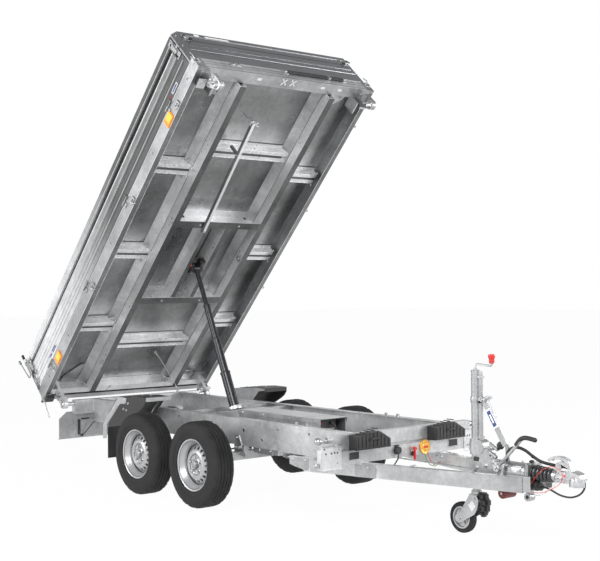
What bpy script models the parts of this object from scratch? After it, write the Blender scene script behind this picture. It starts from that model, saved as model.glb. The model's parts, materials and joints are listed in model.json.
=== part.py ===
"""Galvanised tandem-axle tipping trailer with its bed raised to the rear.

Metres. +X points to the towing coupling, +Y to the trailer's left side, +Z up.
The bed's pieces are modelled with the bed lowered and hang on an empty at its rear balls,
which is then turned to the raised angle. Bed sizes called U run forward from its rear end
and sizes called W run up from the underside of its rim.
"""

import math

import bmesh
import bpy
from mathutils import Matrix, Vector

# Running gear
TYRE_R = 0.325
TYRE_STEPS = 20
RIM_STEPS = 16
TYRE_HALF_WIDTH = 0.0925
TREAD_THICK = 0.022
SHOULDER = 0.030
SIDEWALL = 0.010
RIM_R = 0.195
RIM_HALF_WIDTH = 0.080
FLANGE_INNER = 0.0742
BEAD_SEAT_R = 0.1800
WELL_R = 0.164
AXLE_SPACING = 0.785
WHEEL_Y = 0.777
AXLE_Z = TYRE_R * math.cos(math.pi / TYRE_STEPS)
STUB_R = 0.025
STUB_GAP = 0.0005
AXLE_LEAD = 0.08
AXLE_TUBE = 0.060
AXLE_TUBE_Z = 0.365
DRUM_R = 0.115
DRUM_BACK = 0.062

# Chassis
BEAM_OUTER_Y = 0.485
BEAM_HEIGHT = 0.200
BEAM_FLANGE = 0.060
BEAM_WALL = 0.005
CHASSIS_TOP = 0.645
CHASSIS_FRONT_X = 1.763
CHASSIS_REAR_X = -1.700
CROSS_DEPTH = 0.060
END_PLATE = 0.008
SEAT = 0.0003

# Pivot balls between chassis and bed
BALL_X = -1.724
BALL_Z = 0.613
BALL_R = 0.025
BALL_STEM_R = 0.014
BALL_FRONT_X = CHASSIS_FRONT_X - 0.043
SOCKET_WALL = 0.012
SOCKET_GAP = 0.0015

# Bed
BED_ANGLE = math.radians(46.6)
BED_U_OF_BALL = 0.099
BED_LENGTH = BED_U_OF_BALL + BALL_FRONT_X - BALL_X + 0.041
BED_HALF_WIDTH = 0.8825
BALL_Y = BED_HALF_WIDTH - 0.1175
CROSS_HALF_WIDTH = BALL_Y - 0.093
RIM_HEIGHT = 0.117
RIM_ABOVE_BALL = 0.154
RIM_FLANGE = 0.047
RIM_WALL = 0.004
FLOOR_SHEET = 0.003
WALL_HEIGHT = 0.350
WALL_THICK = 0.025
WALL_STANDOFF = 0.0015
POST_WIDTH = 0.050
POST_CHAMFER = 0.036
PANEL_GAP = 0.005
BED_BEAM_V = 0.475
BED_BEAM_DROP = 0.045
BED_BEAM_WIDTH = 0.055
BED_BEAM_WALL = 0.003
BED_BEAM_FOLD = 0.050
BED_BEAM_SPLAY = 0.9
HAT_DROP = 0.056
HINGE_OUT = 0.012
HINGE_R = 0.008

# Ram
GIMBAL_X = -0.205
GIMBAL_Z = 0.600
RAM_HEAD_U = 1.622
RAM_HEAD_W = -0.035
RAM_BASE_R = 0.048
RAM_WALL = 0.006
RAM_GAP = 0.001
RAM_STAGES = 4
RAM_TUBE_BELOW = 0.330
RAM_COLLAR = 0.012
RAM_CROSS_SPAN = 0.260

# Drawbar, overrun device and jockey wheel
ARM_HEIGHT = 0.095
ARM_WIDTH = 0.050
ARM_WALL = 0.005
ARM_REAR_X = 1.150
ARM_REAR_Y = 0.530
ARM_FRONT_X = 2.885
ARM_FRONT_Y = 0.093
ARM_RISE = 0.018
HOUSING_X = (2.620, 2.885)
FOOT_PLATE_TOP = 0.377
TOW_Z = 0.462
COUPLING_TIP_X = 3.257
BELLOWS_R = 0.042
POST_X = 2.415
POST_R = 0.030
POST_TOP_Z = 1.078
POST_LOW_Z = 0.360
LEG_R = 0.0235
JOCKEY_R = 0.105
JOCKEY_STEPS = 16
JOCKEY_TRAIL = 0.118
JOCKEY_HALF_WIDTH = 0.024
JOCKEY_Z = JOCKEY_R * math.cos(math.pi / JOCKEY_STEPS)

RIM_Z = BALL_Z + RIM_ABOVE_BALL
BED_REAR_X = BALL_X - BED_U_OF_BALL
FLOOR_W = RIM_HEIGHT + SEAT
WALL_W = RIM_HEIGHT + WALL_STANDOFF
WALL_TOP_W = WALL_W + WALL_HEIGHT
BEAM_LOW_Z = CHASSIS_TOP - BEAM_HEIGHT

COLLECTION = "tipping_trailer"


def material(name, colour, roughness, metallic):
    """A plain surface finish."""
    finish = bpy.data.materials.new(name)
    finish.use_nodes = True
    shader = finish.node_tree.nodes["Principled BSDF"]
    shader.inputs["Base Color"].default_value = (*colour, 1.0)
    shader.inputs["Roughness"].default_value = roughness
    shader.inputs["Metallic"].default_value = metallic
    return finish


def link(obj):
    bpy.data.collections[COLLECTION].objects.link(obj)
    return obj


def mesh_object(name, mesh):
    return link(bpy.data.objects.new(name, mesh))


def baked(obj):
    """Replaces a curve, or an object with modifiers, by one welded mesh in world coordinates."""
    bpy.context.view_layer.update()
    evaluated = obj.evaluated_get(bpy.context.evaluated_depsgraph_get())
    mesh = bpy.data.meshes.new_from_object(evaluated)
    mesh.transform(obj.matrix_world)
    name = obj.name
    bpy.data.objects.remove(obj)
    shape = bmesh.new()
    shape.from_mesh(mesh)
    bmesh.ops.remove_doubles(shape, verts=shape.verts, dist=0.00002)
    bmesh.ops.recalc_face_normals(shape, faces=shape.faces)
    shape.to_mesh(mesh)
    shape.free()
    return mesh_object(name, mesh)


def block(x_span, y_span, z_span):
    """A box between two x, two y and two z values."""
    shape = bmesh.new()
    bmesh.ops.create_cube(shape, size=1.0)
    size = [abs(span[1] - span[0]) for span in (x_span, y_span, z_span)]
    middle = [(span[0] + span[1]) / 2 for span in (x_span, y_span, z_span)]
    bmesh.ops.scale(shape, vec=size, verts=shape.verts)
    bmesh.ops.translate(shape, vec=middle, verts=shape.verts)
    mesh = bpy.data.meshes.new("block")
    shape.to_mesh(mesh)
    shape.free()
    return mesh_object("block", mesh)


def rod(start, end, radius, sides=12, end_radius=None):
    """A round bar or a cone between two points."""
    start, end = Vector(start), Vector(end)
    run = end - start
    turn = run.to_track_quat("Z", "X").to_matrix().to_4x4()
    shape = bmesh.new()
    bmesh.ops.create_cone(
        shape, cap_ends=True, segments=sides, radius1=radius,
        radius2=radius if end_radius is None else end_radius, depth=run.length,
        matrix=Matrix.Translation((start + end) / 2) @ turn)
    mesh = bpy.data.meshes.new("rod")
    shape.to_mesh(mesh)
    shape.free()
    return mesh_object("rod", mesh)


def ball(centre, radius):
    shape = bmesh.new()
    bmesh.ops.create_uvsphere(shape, u_segments=12, v_segments=6, radius=radius,
                              matrix=Matrix.Translation(centre))
    mesh = bpy.data.meshes.new("ball")
    shape.to_mesh(mesh)
    shape.free()
    return mesh_object("ball", mesh)


def plate(outlines, thickness, matrix):
    """A flat outline, with any further outlines as holes, centred on its own XY plane."""
    curve = bpy.data.curves.new("plate", "CURVE")
    curve.dimensions = "2D"
    curve.fill_mode = "BOTH"
    curve.extrude = thickness / 2
    for outline in outlines:
        spline = curve.splines.new("POLY")
        spline.points.add(len(outline) - 1)
        for point, (x, y) in zip(spline.points, outline):
            point.co = (x, y, 0.0, 1.0)
        spline.use_cyclic_u = True
    obj = link(bpy.data.objects.new("plate", curve))
    obj.matrix_world = matrix
    return baked(obj)


def circle(x, y, radius, sides=16):
    turns = [2 * math.pi * i / sides for i in range(sides)]
    return [(x + radius * math.cos(a), y + radius * math.sin(a)) for a in turns]


def axes(x_axis, y_axis, origin):
    """The matrix that sends local X and Y along two world directions."""
    x_axis, y_axis = Vector(x_axis).normalized(), Vector(y_axis).normalized()
    z_axis = x_axis.cross(y_axis)
    return Matrix.Translation(origin) @ Matrix((x_axis, y_axis, z_axis)).transposed().to_4x4()


def section_along_x(outline, x_span):
    """A (y, z) outline swept between two x values."""
    middle = (x_span[0] + x_span[1]) / 2
    return plate([outline], x_span[1] - x_span[0], axes((0, 1, 0), (0, 0, 1), (middle, 0, 0)))


def section_along_y(outlines, y_span):
    """An (x, z) outline, with any holes, swept between two y values."""
    middle = (y_span[0] + y_span[1]) / 2
    return plate(outlines, y_span[1] - y_span[0], axes((1, 0, 0), (0, 0, 1), (0, middle, 0)))


def plan_plate(outlines, z_span):
    """An (x, y) outline, with any holes, raised between two z values."""
    middle = (z_span[0] + z_span[1]) / 2
    return plate(outlines, z_span[1] - z_span[0], Matrix.Translation((0, 0, middle)))


def turned(profile, steps, matrix, closed=True):
    """A (radius, height) profile turned about its own Z axis."""
    mesh = bpy.data.meshes.new("turned")
    points = [(radius, 0.0, height) for radius, height in profile]
    edges = [(i, i + 1) for i in range(len(points) - 1)]
    if closed:
        edges.append((len(points) - 1, 0))
    mesh.from_pydata(points, edges, [])
    obj = mesh_object("turned", mesh)
    screw = obj.modifiers.new("screw", "SCREW")
    screw.axis = "Z"
    screw.steps = steps
    screw.render_steps = steps
    screw.use_merge_vertices = True
    screw.merge_threshold = 0.00001
    obj.matrix_world = matrix
    return baked(obj)


def tube(points, radius, bevel_resolution=2):
    """A round wire or hose along points."""
    curve = bpy.data.curves.new("tube", "CURVE")
    curve.dimensions = "3D"
    curve.bevel_depth = radius
    curve.bevel_resolution = bevel_resolution
    curve.use_fill_caps = True
    spline = curve.splines.new("POLY")
    spline.points.add(len(points) - 1)
    for point, place in zip(spline.points, points):
        point.co = (*place, 1.0)
    return baked(link(bpy.data.objects.new("tube", curve)))


def smooth_route(points, spacing):
    """Evenly spaced points on a smooth curve through a route's own points."""
    points = [Vector(p) for p in points]
    padded = [2 * points[0] - points[1]] + points + [2 * points[-1] - points[-2]]
    fine = []
    for before, start, end, after in zip(padded, padded[1:], padded[2:], padded[3:]):
        for step in range(20):
            t = step / 20
            fine.append(0.5 * (2 * start + (end - before) * t
                               + (2 * before - 5 * start + 4 * end - after) * t * t
                               + (3 * start - before - 3 * end + after) * t ** 3))
    fine.append(points[-1])
    lengths = [0.0]
    for first, second in zip(fine, fine[1:]):
        lengths.append(lengths[-1] + (second - first).length)
    count = max(2, round(lengths[-1] / spacing))
    route = []
    k = 0
    for i in range(count + 1):
        target = lengths[-1] * i / count
        while k < len(fine) - 2 and lengths[k + 1] < target:
            k += 1
        share = (target - lengths[k]) / (lengths[k + 1] - lengths[k])
        route.append(fine[k].lerp(fine[k + 1], min(1.0, share)))
    return route


def combined(pieces, operation):
    """The first piece with the others united to it or cut from it."""
    base = pieces[0]
    for other in pieces[1:]:
        modifier = base.modifiers.new("combine", "BOOLEAN")
        modifier.operation = operation
        modifier.object = other
        modifier.solver = "EXACT"
    bpy.context.view_layer.update()
    result = baked(base)
    for other in pieces[1:]:
        bpy.data.objects.remove(other)
    return result


def fused(pieces):
    return combined(pieces, "UNION") if len(pieces) > 1 else pieces[0]


def cut(piece, cutters):
    return combined([piece] + cutters, "DIFFERENCE")


def mirrored(piece, side):
    """The piece itself for the left side (+1), or its mirror image for the right (-1)."""
    if side > 0:
        return piece
    piece.data.transform(Matrix.Scale(-1, 4, (0, 1, 0)))
    piece.data.flip_normals()
    return piece


def empty(name, location, parent=None):
    """A joint's place, given where it is before anything is turned."""
    obj = link(bpy.data.objects.new(name, None))
    obj["rest"] = tuple(location)
    above = Vector(parent["rest"]) if parent else Vector()
    obj.parent = parent
    obj.location = Vector(location) - above
    return obj


def node(name, piece, pivot, finish):
    """Names a finished piece, gives it its finish and hangs it on a joint's empty."""
    piece.name = name
    piece.data.name = name
    piece.data.transform(Matrix.Translation(-Vector(pivot["rest"])))
    piece.parent = pivot
    piece.data.materials.clear()
    piece.data.materials.append(finish)
    piece.data.shade_smooth()
    piece.data.set_sharp_from_angle(angle=math.radians(35))
    return piece


def channel(web, flange, wall, low, high, inward):
    """A C section as a (y, z) outline: its web's outer face at web, flanges towards inward."""
    tip = web + inward * flange
    skin = web + inward * wall
    return [(web, low), (tip, low), (tip, low + wall), (skin, low + wall),
            (skin, high - wall), (tip, high - wall), (tip, high), (web, high)]


def folded(path, wall):
    """The outline of a folded sheet: a path along one face, with its thickness to the left."""
    points = [Vector(p) for p in path]
    runs = [(b - a).normalized() for a, b in zip(points, points[1:])]
    normals = [Vector((-run.y, run.x)) for run in runs]
    far_side = []
    for i, point in enumerate(points):
        before = normals[max(i - 1, 0)]
        after = normals[min(i, len(normals) - 1)]
        far_side.append(point + (before + after) * (wall / (1 + before.dot(after))))
    return [tuple(p) for p in points] + [tuple(p) for p in reversed(far_side)]


# Chassis frame

def chassis_beam(side):
    outline = channel(BEAM_OUTER_Y, BEAM_FLANGE, BEAM_WALL, BEAM_LOW_Z, CHASSIS_TOP, -1)
    return mirrored(section_along_x(outline, (CHASSIS_REAR_X, CHASSIS_FRONT_X - CROSS_DEPTH - SEAT)), side)


def ball_stub(x, side):
    """A ball on its stem, reaching out from a crossmember's end."""
    stem = rod((x, side * (CROSS_HALF_WIDTH - END_PLATE / 2), BALL_Z), (x, side * BALL_Y, BALL_Z), BALL_STEM_R)
    return [stem, ball((x, side * BALL_Y, BALL_Z), BALL_R)]


def front_crossmember():
    """A creased channel across the front with a ball stub at each end."""
    x = CHASSIS_FRONT_X
    back = x - CROSS_DEPTH
    middle = CHASSIS_TOP - BEAM_HEIGHT / 2
    wall = BEAM_WALL
    crease = 0.010
    outline = folded([(back, BEAM_LOW_Z), (x, BEAM_LOW_Z), (x, middle - crease), (x - crease, middle),
                      (x, middle + crease), (x, CHASSIS_TOP), (back, CHASSIS_TOP)], wall)
    pieces = [section_along_y([outline], (-CROSS_HALF_WIDTH, CROSS_HALF_WIDTH))]
    for side in (1, -1):
        end = (side * (CROSS_HALF_WIDTH - END_PLATE), side * (CROSS_HALF_WIDTH - 0.0005))
        pieces.append(block((back + 0.001, x - wall / 2), end, (middle + 0.003, CHASSIS_TOP - wall / 2)))
        pieces += ball_stub(BALL_FRONT_X, side)
    return fused(pieces)


def rear_crossmember():
    """The channel that carries the rear balls, its open side to the rear."""
    front = CHASSIS_REAR_X - SEAT
    back = front - CROSS_DEPTH
    low = 0.520
    wall = BEAM_WALL
    outline = folded([(back, CHASSIS_TOP), (front, CHASSIS_TOP), (front, low), (back, low)], -wall)
    pieces = [section_along_y([outline], (-CROSS_HALF_WIDTH, CROSS_HALF_WIDTH))]
    for side in (1, -1):
        end = (side * (CROSS_HALF_WIDTH - END_PLATE), side * (CROSS_HALF_WIDTH - 0.0005))
        pieces.append(block((back + 0.001, front - wall / 2), end, (low + wall / 2, CHASSIS_TOP - wall / 2)))
        pieces += ball_stub(BALL_X, side)
    return fused(pieces)


def ram_crossmember():
    """Two bars between the chassis beams with the ram's two bearing plates between them."""
    inner = BEAM_OUTER_Y - BEAM_WALL - SEAT
    low = GIMBAL_Z - 0.070
    pieces = []
    for way in (-1, 1):
        x = GIMBAL_X + way * RAM_CROSS_SPAN / 2
        pieces.append(block((x - 0.015, x + 0.015), (-inner, inner), (low, CHASSIS_TOP - 0.007)))
    frame_span = (GIMBAL_X - RAM_CROSS_SPAN / 2, GIMBAL_X + RAM_CROSS_SPAN / 2)
    for side in (-1, 1):
        y = side * 0.075
        outline = [(frame_span[0], low), (frame_span[1], low), (frame_span[1], CHASSIS_TOP - 0.010),
                   (frame_span[0], CHASSIS_TOP - 0.010)]
        hole = circle(GIMBAL_X, GIMBAL_Z, 0.016 + STUB_GAP)
        pieces.append(section_along_y([outline, hole], (y - 0.006, y + 0.006)))
    return fused(pieces)


def axle(x):
    """A rubber-sprung axle: its tube, brackets, trailing arms and wheel stubs."""
    tube_x = x + AXLE_LEAD
    half = AXLE_TUBE / 2
    pieces = [block((tube_x - half, tube_x + half), (-0.600, 0.600), (AXLE_TUBE_Z - half, AXLE_TUBE_Z + half))]
    for side in (1, -1):
        y = side * (BEAM_OUTER_Y - BEAM_FLANGE / 2)
        pieces.append(block((tube_x - 0.060, tube_x + 0.060), (y - 0.025, y + 0.025),
                            (AXLE_TUBE_Z, BEAM_LOW_Z - SEAT)))
        outline = [(x - 0.040, AXLE_Z - 0.040), (x + 0.030, AXLE_Z - 0.045), (tube_x + 0.055, AXLE_TUBE_Z - 0.045),
                   (tube_x + 0.055, AXLE_TUBE_Z + 0.045), (tube_x - 0.050, AXLE_TUBE_Z + 0.045),
                   (x - 0.040, AXLE_Z + 0.040)]
        arm = sorted((side * 0.598, side * 0.638))
        pieces.append(section_along_y([outline], arm))
        stub_end = WHEEL_Y - 0.020 - STUB_GAP
        pieces.append(rod((x, side * 0.630, AXLE_Z), (x, side * stub_end, AXLE_Z), STUB_R))
    return fused(pieces)


def arm_y(x):
    """How far from the middle an arm's centre line is."""
    return ARM_REAR_Y + (ARM_FRONT_Y - ARM_REAR_Y) * (x - ARM_REAR_X) / (ARM_FRONT_X - ARM_REAR_X)


def drawbar():
    """The two converging arms and the plate that closes their front."""
    pieces = []
    half = ARM_WIDTH / 2
    slope = ARM_RISE / (ARM_FRONT_X - ARM_REAR_X)
    seat_z = BEAM_LOW_Z - SEAT - ARM_HEIGHT / 2
    rear_z = seat_z - slope * (CHASSIS_FRONT_X - ARM_REAR_X)
    for side in (1, -1):
        rear = Vector((ARM_REAR_X, side * ARM_REAR_Y, rear_z))
        front = Vector((ARM_FRONT_X, side * ARM_FRONT_Y, rear_z + ARM_RISE))
        run = front - rear
        length = run.length
        rise = ARM_HEIGHT / 2
        outline = [(-0.010, rise), (0.140, -rise), (length, -rise), (length, rise)]
        place = axes(run, (0, 0, 1), rear)
        inner = rise - ARM_WALL
        bore = [(-0.050, -inner), (length + 0.050, -inner), (length + 0.050, inner), (-0.050, inner)]
        arm = plate([outline], ARM_WIDTH, place)
        pieces.append(cut(arm, [plate([bore], ARM_WIDTH - 2 * ARM_WALL, place)]))
        under_beam = ARM_REAR_X + (ARM_REAR_Y - BEAM_OUTER_Y) / (ARM_REAR_Y - ARM_FRONT_Y) * (ARM_FRONT_X - ARM_REAR_X)
        for middle, half_length in ((under_beam, 0.060), (CHASSIS_FRONT_X - CROSS_DEPTH / 2, CROSS_DEPTH / 2 - 0.001)):
            y_span = sorted(side * (arm_y(middle) + way * 0.035) for way in (-1, 1))
            pieces.append(block((middle - half_length, middle + half_length), y_span,
                                (BEAM_LOW_Z - 0.014, BEAM_LOW_Z - SEAT)))
    pieces.append(block((ARM_FRONT_X - 0.006, ARM_FRONT_X), (-ARM_FRONT_Y - half, ARM_FRONT_Y + half),
                        (0.364, FOOT_PLATE_TOP)))
    rear, front = POST_X - 0.045, HOUSING_X[0] + 0.120
    outline = [(rear, 0.205), (front, 0.122), (front, -0.122), (rear, -0.205)]
    hole = circle(POST_X, 0, POST_R + SEAT, 24)
    pieces.append(plan_plate([outline, hole], (FOOT_PLATE_TOP - 0.006, FOOT_PLATE_TOP)))
    return fused(pieces)


# Running gear

def tyre_profile():
    """Half of it as radius and distance from the tyre's middle plane, outside then inside."""
    half = TYRE_HALF_WIDTH
    flats = math.cos(math.pi / TYRE_STEPS)
    bead = (BEAD_SEAT_R + SEAT) / flats
    over_flange = (RIM_R + SEAT) / flats
    beside_flange = FLANGE_INNER - 0.0005
    belly = (RIM_R + TYRE_R) / 2 - 0.010
    outside = [(bead, beside_flange), (over_flange, beside_flange), (belly, half),
               (TYRE_R - SHOULDER, half - 0.004), (TYRE_R, half - 0.030)]
    inside = [(TYRE_R - TREAD_THICK, half - 0.020), (belly, half - SIDEWALL), (bead, beside_flange - 0.018)]
    upper = outside + [(r, -h) for r, h in reversed(outside)]
    lower = [(r, -h) for r, h in reversed(inside)] + inside
    return upper + lower


def wheel_matrix(x, side, steps):
    """Local +Z runs outwards along the axle, with a flat of the polygon straight down."""
    turn = Matrix.Rotation(-side * math.pi / 2, 4, "X")
    flat = Matrix.Rotation(math.pi / steps, 4, "Z")
    return Matrix.Translation((x, side * WHEEL_Y, AXLE_Z)) @ turn @ flat


def tyre(x, side):
    return turned(tyre_profile(), TYRE_STEPS, wheel_matrix(x, side, TYRE_STEPS))


def wheel(x, side):
    """Rim, disc, brake drum and hub, turned as one piece about the stub."""
    profile = [
        (0.0, 0.046), (0.028, 0.046), (0.030, 0.024), (0.088, 0.036), (0.150, 0.006),
        (WELL_R - 0.006, 0.046), (RIM_R - 0.011, RIM_HALF_WIDTH), (RIM_R, RIM_HALF_WIDTH), (RIM_R, FLANGE_INNER),
        (BEAD_SEAT_R, FLANGE_INNER), (BEAD_SEAT_R, 0.050), (WELL_R, 0.040), (WELL_R, -0.040), (BEAD_SEAT_R, -0.050),
        (BEAD_SEAT_R, -FLANGE_INNER), (RIM_R, -FLANGE_INNER), (RIM_R, -RIM_HALF_WIDTH),
        (RIM_R - 0.011, -RIM_HALF_WIDTH), (WELL_R - 0.008, -0.042), (WELL_R - 0.008, -0.004), (DRUM_R, 0.010),
        (DRUM_R, -DRUM_BACK), (STUB_R + STUB_GAP, -DRUM_BACK), (STUB_R + STUB_GAP, -0.020), (0.0, -0.020)]
    return turned(profile, RIM_STEPS, wheel_matrix(x, side, RIM_STEPS), closed=False)


# Bed

def bed_x(u):
    return BED_REAR_X + u


def bed_z(w):
    return RIM_Z + w


def bed_rim():
    """The folded edge channel round the bed, with the side walls' hinge leaves and the rear posts."""
    v = BED_HALF_WIDTH
    low, high = bed_z(0), bed_z(RIM_HEIGHT)
    rear, front = bed_x(0), bed_x(BED_LENGTH)
    wall, flange = RIM_WALL, RIM_FLANGE
    rim = block((rear, front), (-v, v), (low, high))
    hollow = block((rear + wall, front - wall), (-v + wall, v - wall), (low + wall, high - wall))
    opening = block((rear + flange, front - flange), (-v + flange, v - flange), (low - wall, high + wall))
    pieces = [cut(rim, [hollow, opening])]
    for side in (1, -1):
        for u in HINGE_STATIONS:
            pieces.append(hinge_leaf(side, u, -1))
        pieces.append(rear_post(side))
        pieces += tailgate_lock(side)
    return fused(pieces)


HINGE_STATIONS = (0.35, 1.28, 2.21, 3.14)


def hinge_leaf(side, u, way):
    """A knuckle with its tab: way +1 is the wall's, above the axis, and -1 the rim's, below it."""
    face = BED_HALF_WIDTH
    axis_out = face + HINGE_OUT
    tab_out = face + 0.006
    meet = math.acos((tab_out - axis_out) / HINGE_R)
    turns = [2 * math.pi - meet + (math.pi + meet - 2 * math.pi + math.pi) * i / 5 for i in range(6)]
    arc = [(axis_out + HINGE_R * math.cos(a), HINGE_R * math.sin(a)) for a in turns]
    outline = [(face - 0.002, -0.040), (tab_out, -0.040)] + arc + [(face - 0.002, -0.002)]
    outline = [(y, bed_z(RIM_HEIGHT) - way * z) for y, z in outline]
    x = bed_x(u) + way * 0.0225
    return mirrored(section_along_x(outline, (x - 0.020, x + 0.020)), side)


def rear_post(side):
    """A post at the rear corner with the bore for the tailgate's top pin."""
    outline = [(bed_x(0), bed_z(RIM_HEIGHT - 0.002)), (bed_x(POST_WIDTH), bed_z(RIM_HEIGHT - 0.002)),
               (bed_x(POST_WIDTH), bed_z(WALL_TOP_W)), (bed_x(0), bed_z(WALL_TOP_W))]
    hole = circle(bed_x(TAILGATE_U), bed_z(TAILGATE_W), TAILGATE_PIN_R + 0.0005, 12)
    return mirrored(section_along_y([outline, hole], (BED_HALF_WIDTH - POST_WIDTH, BED_HALF_WIDTH)), side)


def tailgate_lock(side):
    """The lever behind a rear post that locks the tailgate's top pin, and its hook above the wall."""
    top = WALL_TOP_W - 0.123
    v = side * (BED_HALF_WIDTH - 0.018)
    across = sorted((v - 0.014, v + 0.014))
    body = block((bed_x(-0.018), bed_x(0.002)), across, (bed_z(top - 0.015), bed_z(top + 0.060)))
    arm = [(-0.008, top), (-0.062, top - 0.014), (-0.074, top), (-0.104, top + 0.205)]
    lever = tube([(bed_x(u), v, bed_z(w)) for u, w in arm], 0.006, 1)
    grip = rod((bed_x(-0.1025), v, bed_z(top + 0.195)), (bed_x(-0.108), v, bed_z(top + 0.232)), 0.012)
    hook = tube([(bed_x(-0.010), v, bed_z(top + 0.050)), (bed_x(-0.016), v, bed_z(top + 0.100)),
                 (bed_x(-0.006), v, bed_z(top + 0.165))], 0.007, 1)
    return [body, lever, grip, hook]


TAILGATE_U = WALL_THICK / 2
TAILGATE_W = WALL_TOP_W - 0.020
TAILGATE_PIN_R = 0.008


def bed_beam(side):
    """One long channel under the floor, with the stiffeners that reach out from it to the rim."""
    span = (bed_x(END_BARS[0] + END_BAR_DEPTH) + SEAT, bed_x(END_BARS[1]) - SEAT)
    pieces = [section_along_x(folded(bed_beam_path(0), -BED_BEAM_WALL), span)]
    for u in BAY_HATS:
        pieces.append(hat(u, RIM_HEIGHT - 0.0005, (BED_BEAM_V - 0.002, BED_HALF_WIDTH - RIM_FLANGE - SEAT)))
    return mirrored(fused(pieces), side)


def bed_beam_path(grow):
    """The pressed beam's outer face as (y, z): splayed sides above a fold line, then a straight trough."""
    outer, inner = BED_BEAM_V + grow, BED_BEAM_V - BED_BEAM_WIDTH - grow
    fold, low = bed_z(BED_BEAM_FOLD), bed_z(-BED_BEAM_DROP) - grow
    top = bed_z(RIM_HEIGHT - 0.0022) + 10 * grow
    splay = BED_BEAM_SPLAY * (top - fold)
    return [(outer + splay, top), (outer, fold), (outer, low), (inner, low), (inner, fold), (inner - splay, top)]


def clear_of_beams(piece):
    """Cuts a crossing piece so that it ends against both long beams."""
    span = (bed_x(0), bed_x(BED_LENGTH))
    return cut(piece, [mirrored(section_along_x(bed_beam_path(0.0004), span), side) for side in (1, -1)])


def bed_ram_frame():
    """The two heavy bars between the beams, and the two channels between them that hold the ram's head."""
    low, high = bed_z(0.002 - BED_BEAM_DROP), bed_z(RIM_HEIGHT - 0.0005)
    inner = BED_BEAM_V - 0.020
    pieces = []
    for u in HEAVY_BARS:
        pieces.append(section_along_y([channel(bed_x(u), HEAVY_BAR_DEPTH, 0.005, low, high, 1)], (-inner, inner)))
    span = (bed_x(HEAVY_BARS[0]) + 0.0025, bed_x(HEAVY_BARS[1]) + 0.0025)
    for v in (-RAM_CHANNEL_V, RAM_CHANNEL_V):
        outward = 1 if v > 0 else -1
        pieces.append(section_along_x(channel(v, 0.040, BED_BEAM_WALL, low + 0.0033, high - 0.0037, outward), span))
    return clear_of_beams(fused(pieces))


def bed_centre_hat(u):
    inner = BED_BEAM_V - 0.020
    return clear_of_beams(hat(u, RIM_HEIGHT - 0.0005, (-inner, inner)))


def bed_end_bar(u, x):
    """The bar across one end of the bed, with the two ball sockets under it."""
    outline = channel(bed_x(u), END_BAR_DEPTH, 0.005, bed_z(RIM_WALL + 0.004), bed_z(RIM_HEIGHT) - 0.0045, 1)
    half = BED_HALF_WIDTH - 0.006
    pieces = [section_along_y([outline], (-half, half))]
    for side in (1, -1):
        pieces += ball_socket(x, side)
    return fused(pieces)


HEAVY_BARS = (1.218, 2.087)
RAM_CHANNEL_V = 0.080
CENTRE_HATS = (0.620, 2.800)
BAY_HATS = (0.850, 1.700, 2.600)
END_BARS = (0.060, BED_LENGTH - 0.094)
END_BAR_DEPTH = 0.060
HEAVY_BAR_DEPTH = 0.068


def hat(u, top_w, v_span):
    """A double-ridged floor stiffener of folded sheet."""
    x = bed_x(u)
    wall = 0.003
    top = bed_z(top_w) - wall
    low = top - HAT_DROP
    groove = low + 0.012
    half = [(-0.080, top), (-0.058, top), (-0.048, low), (-0.012, low), (-0.006, groove)]
    path = half + [(-out, z) for out, z in reversed(half)]
    return section_along_y([folded([(x + out, z) for out, z in path], wall)], v_span)


def ball_socket(x, side):
    """A bracket from the end bar down to the bore that takes a chassis ball."""
    outer = BALL_R + SOCKET_GAP + SOCKET_WALL
    y = side * BALL_Y
    top = bed_z(RIM_HEIGHT - 0.020)
    middle = min(x, bed_x(BED_LENGTH - RIM_FLANGE - SEAT) - outer)
    outline = [(x - outer, BALL_Z), (middle - outer, bed_z(-0.070)), (middle - outer, top), (middle + outer, top),
               (middle + outer, bed_z(-0.010)), (x + outer, bed_z(-0.060)), (x + outer, BALL_Z)]
    arc = [(x + outer * math.cos(a), BALL_Z - outer * math.sin(a))
           for a in (math.pi * i / 8 for i in range(1, 8))]
    bore = circle(x, BALL_Z, BALL_R + SOCKET_GAP)
    return [section_along_y([outline + arc, bore], sorted((y - 0.016, y + 0.016)))]


def bed_floor():
    """The floor sheet, notched round the four corner posts."""
    gap = 0.001
    rear, front = bed_x(WALL_THICK + 0.004), bed_x(BED_LENGTH - WALL_THICK - 0.004)
    half = BED_HALF_WIDTH - WALL_THICK - 0.004
    notch = BED_HALF_WIDTH - POST_WIDTH - gap
    near, far = bed_x(POST_WIDTH) + gap, bed_x(BED_LENGTH - POST_WIDTH) - gap
    corner = [(rear, notch), (near, notch), (near, half), (far, half), (far, notch), (front, notch)]
    outline = corner + [(x, -y) for x, y in reversed(corner)]
    return plan_plate([outline], (bed_z(FLOOR_W), bed_z(FLOOR_W + FLOOR_SHEET)))


def grooved_section():
    """An end wall's section: distance out from its outer face, and height above its foot."""
    edge = 0.004
    section = [(-WALL_THICK, 0.0), (0.0, 0.0)]
    for low, high in WALL_GROOVES:
        section += [(0.0, low - edge), (-GROOVE_DEPTH, low), (-GROOVE_DEPTH, high), (0.0, high + edge)]
    section += [(0.0, WALL_HEIGHT), (-WALL_THICK, WALL_HEIGHT)]
    return section


GROOVE_DEPTH = 0.007
WALL_GROOVES = ((0.104, 0.110), (0.167, 0.173), (0.303, 0.308))


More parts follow.
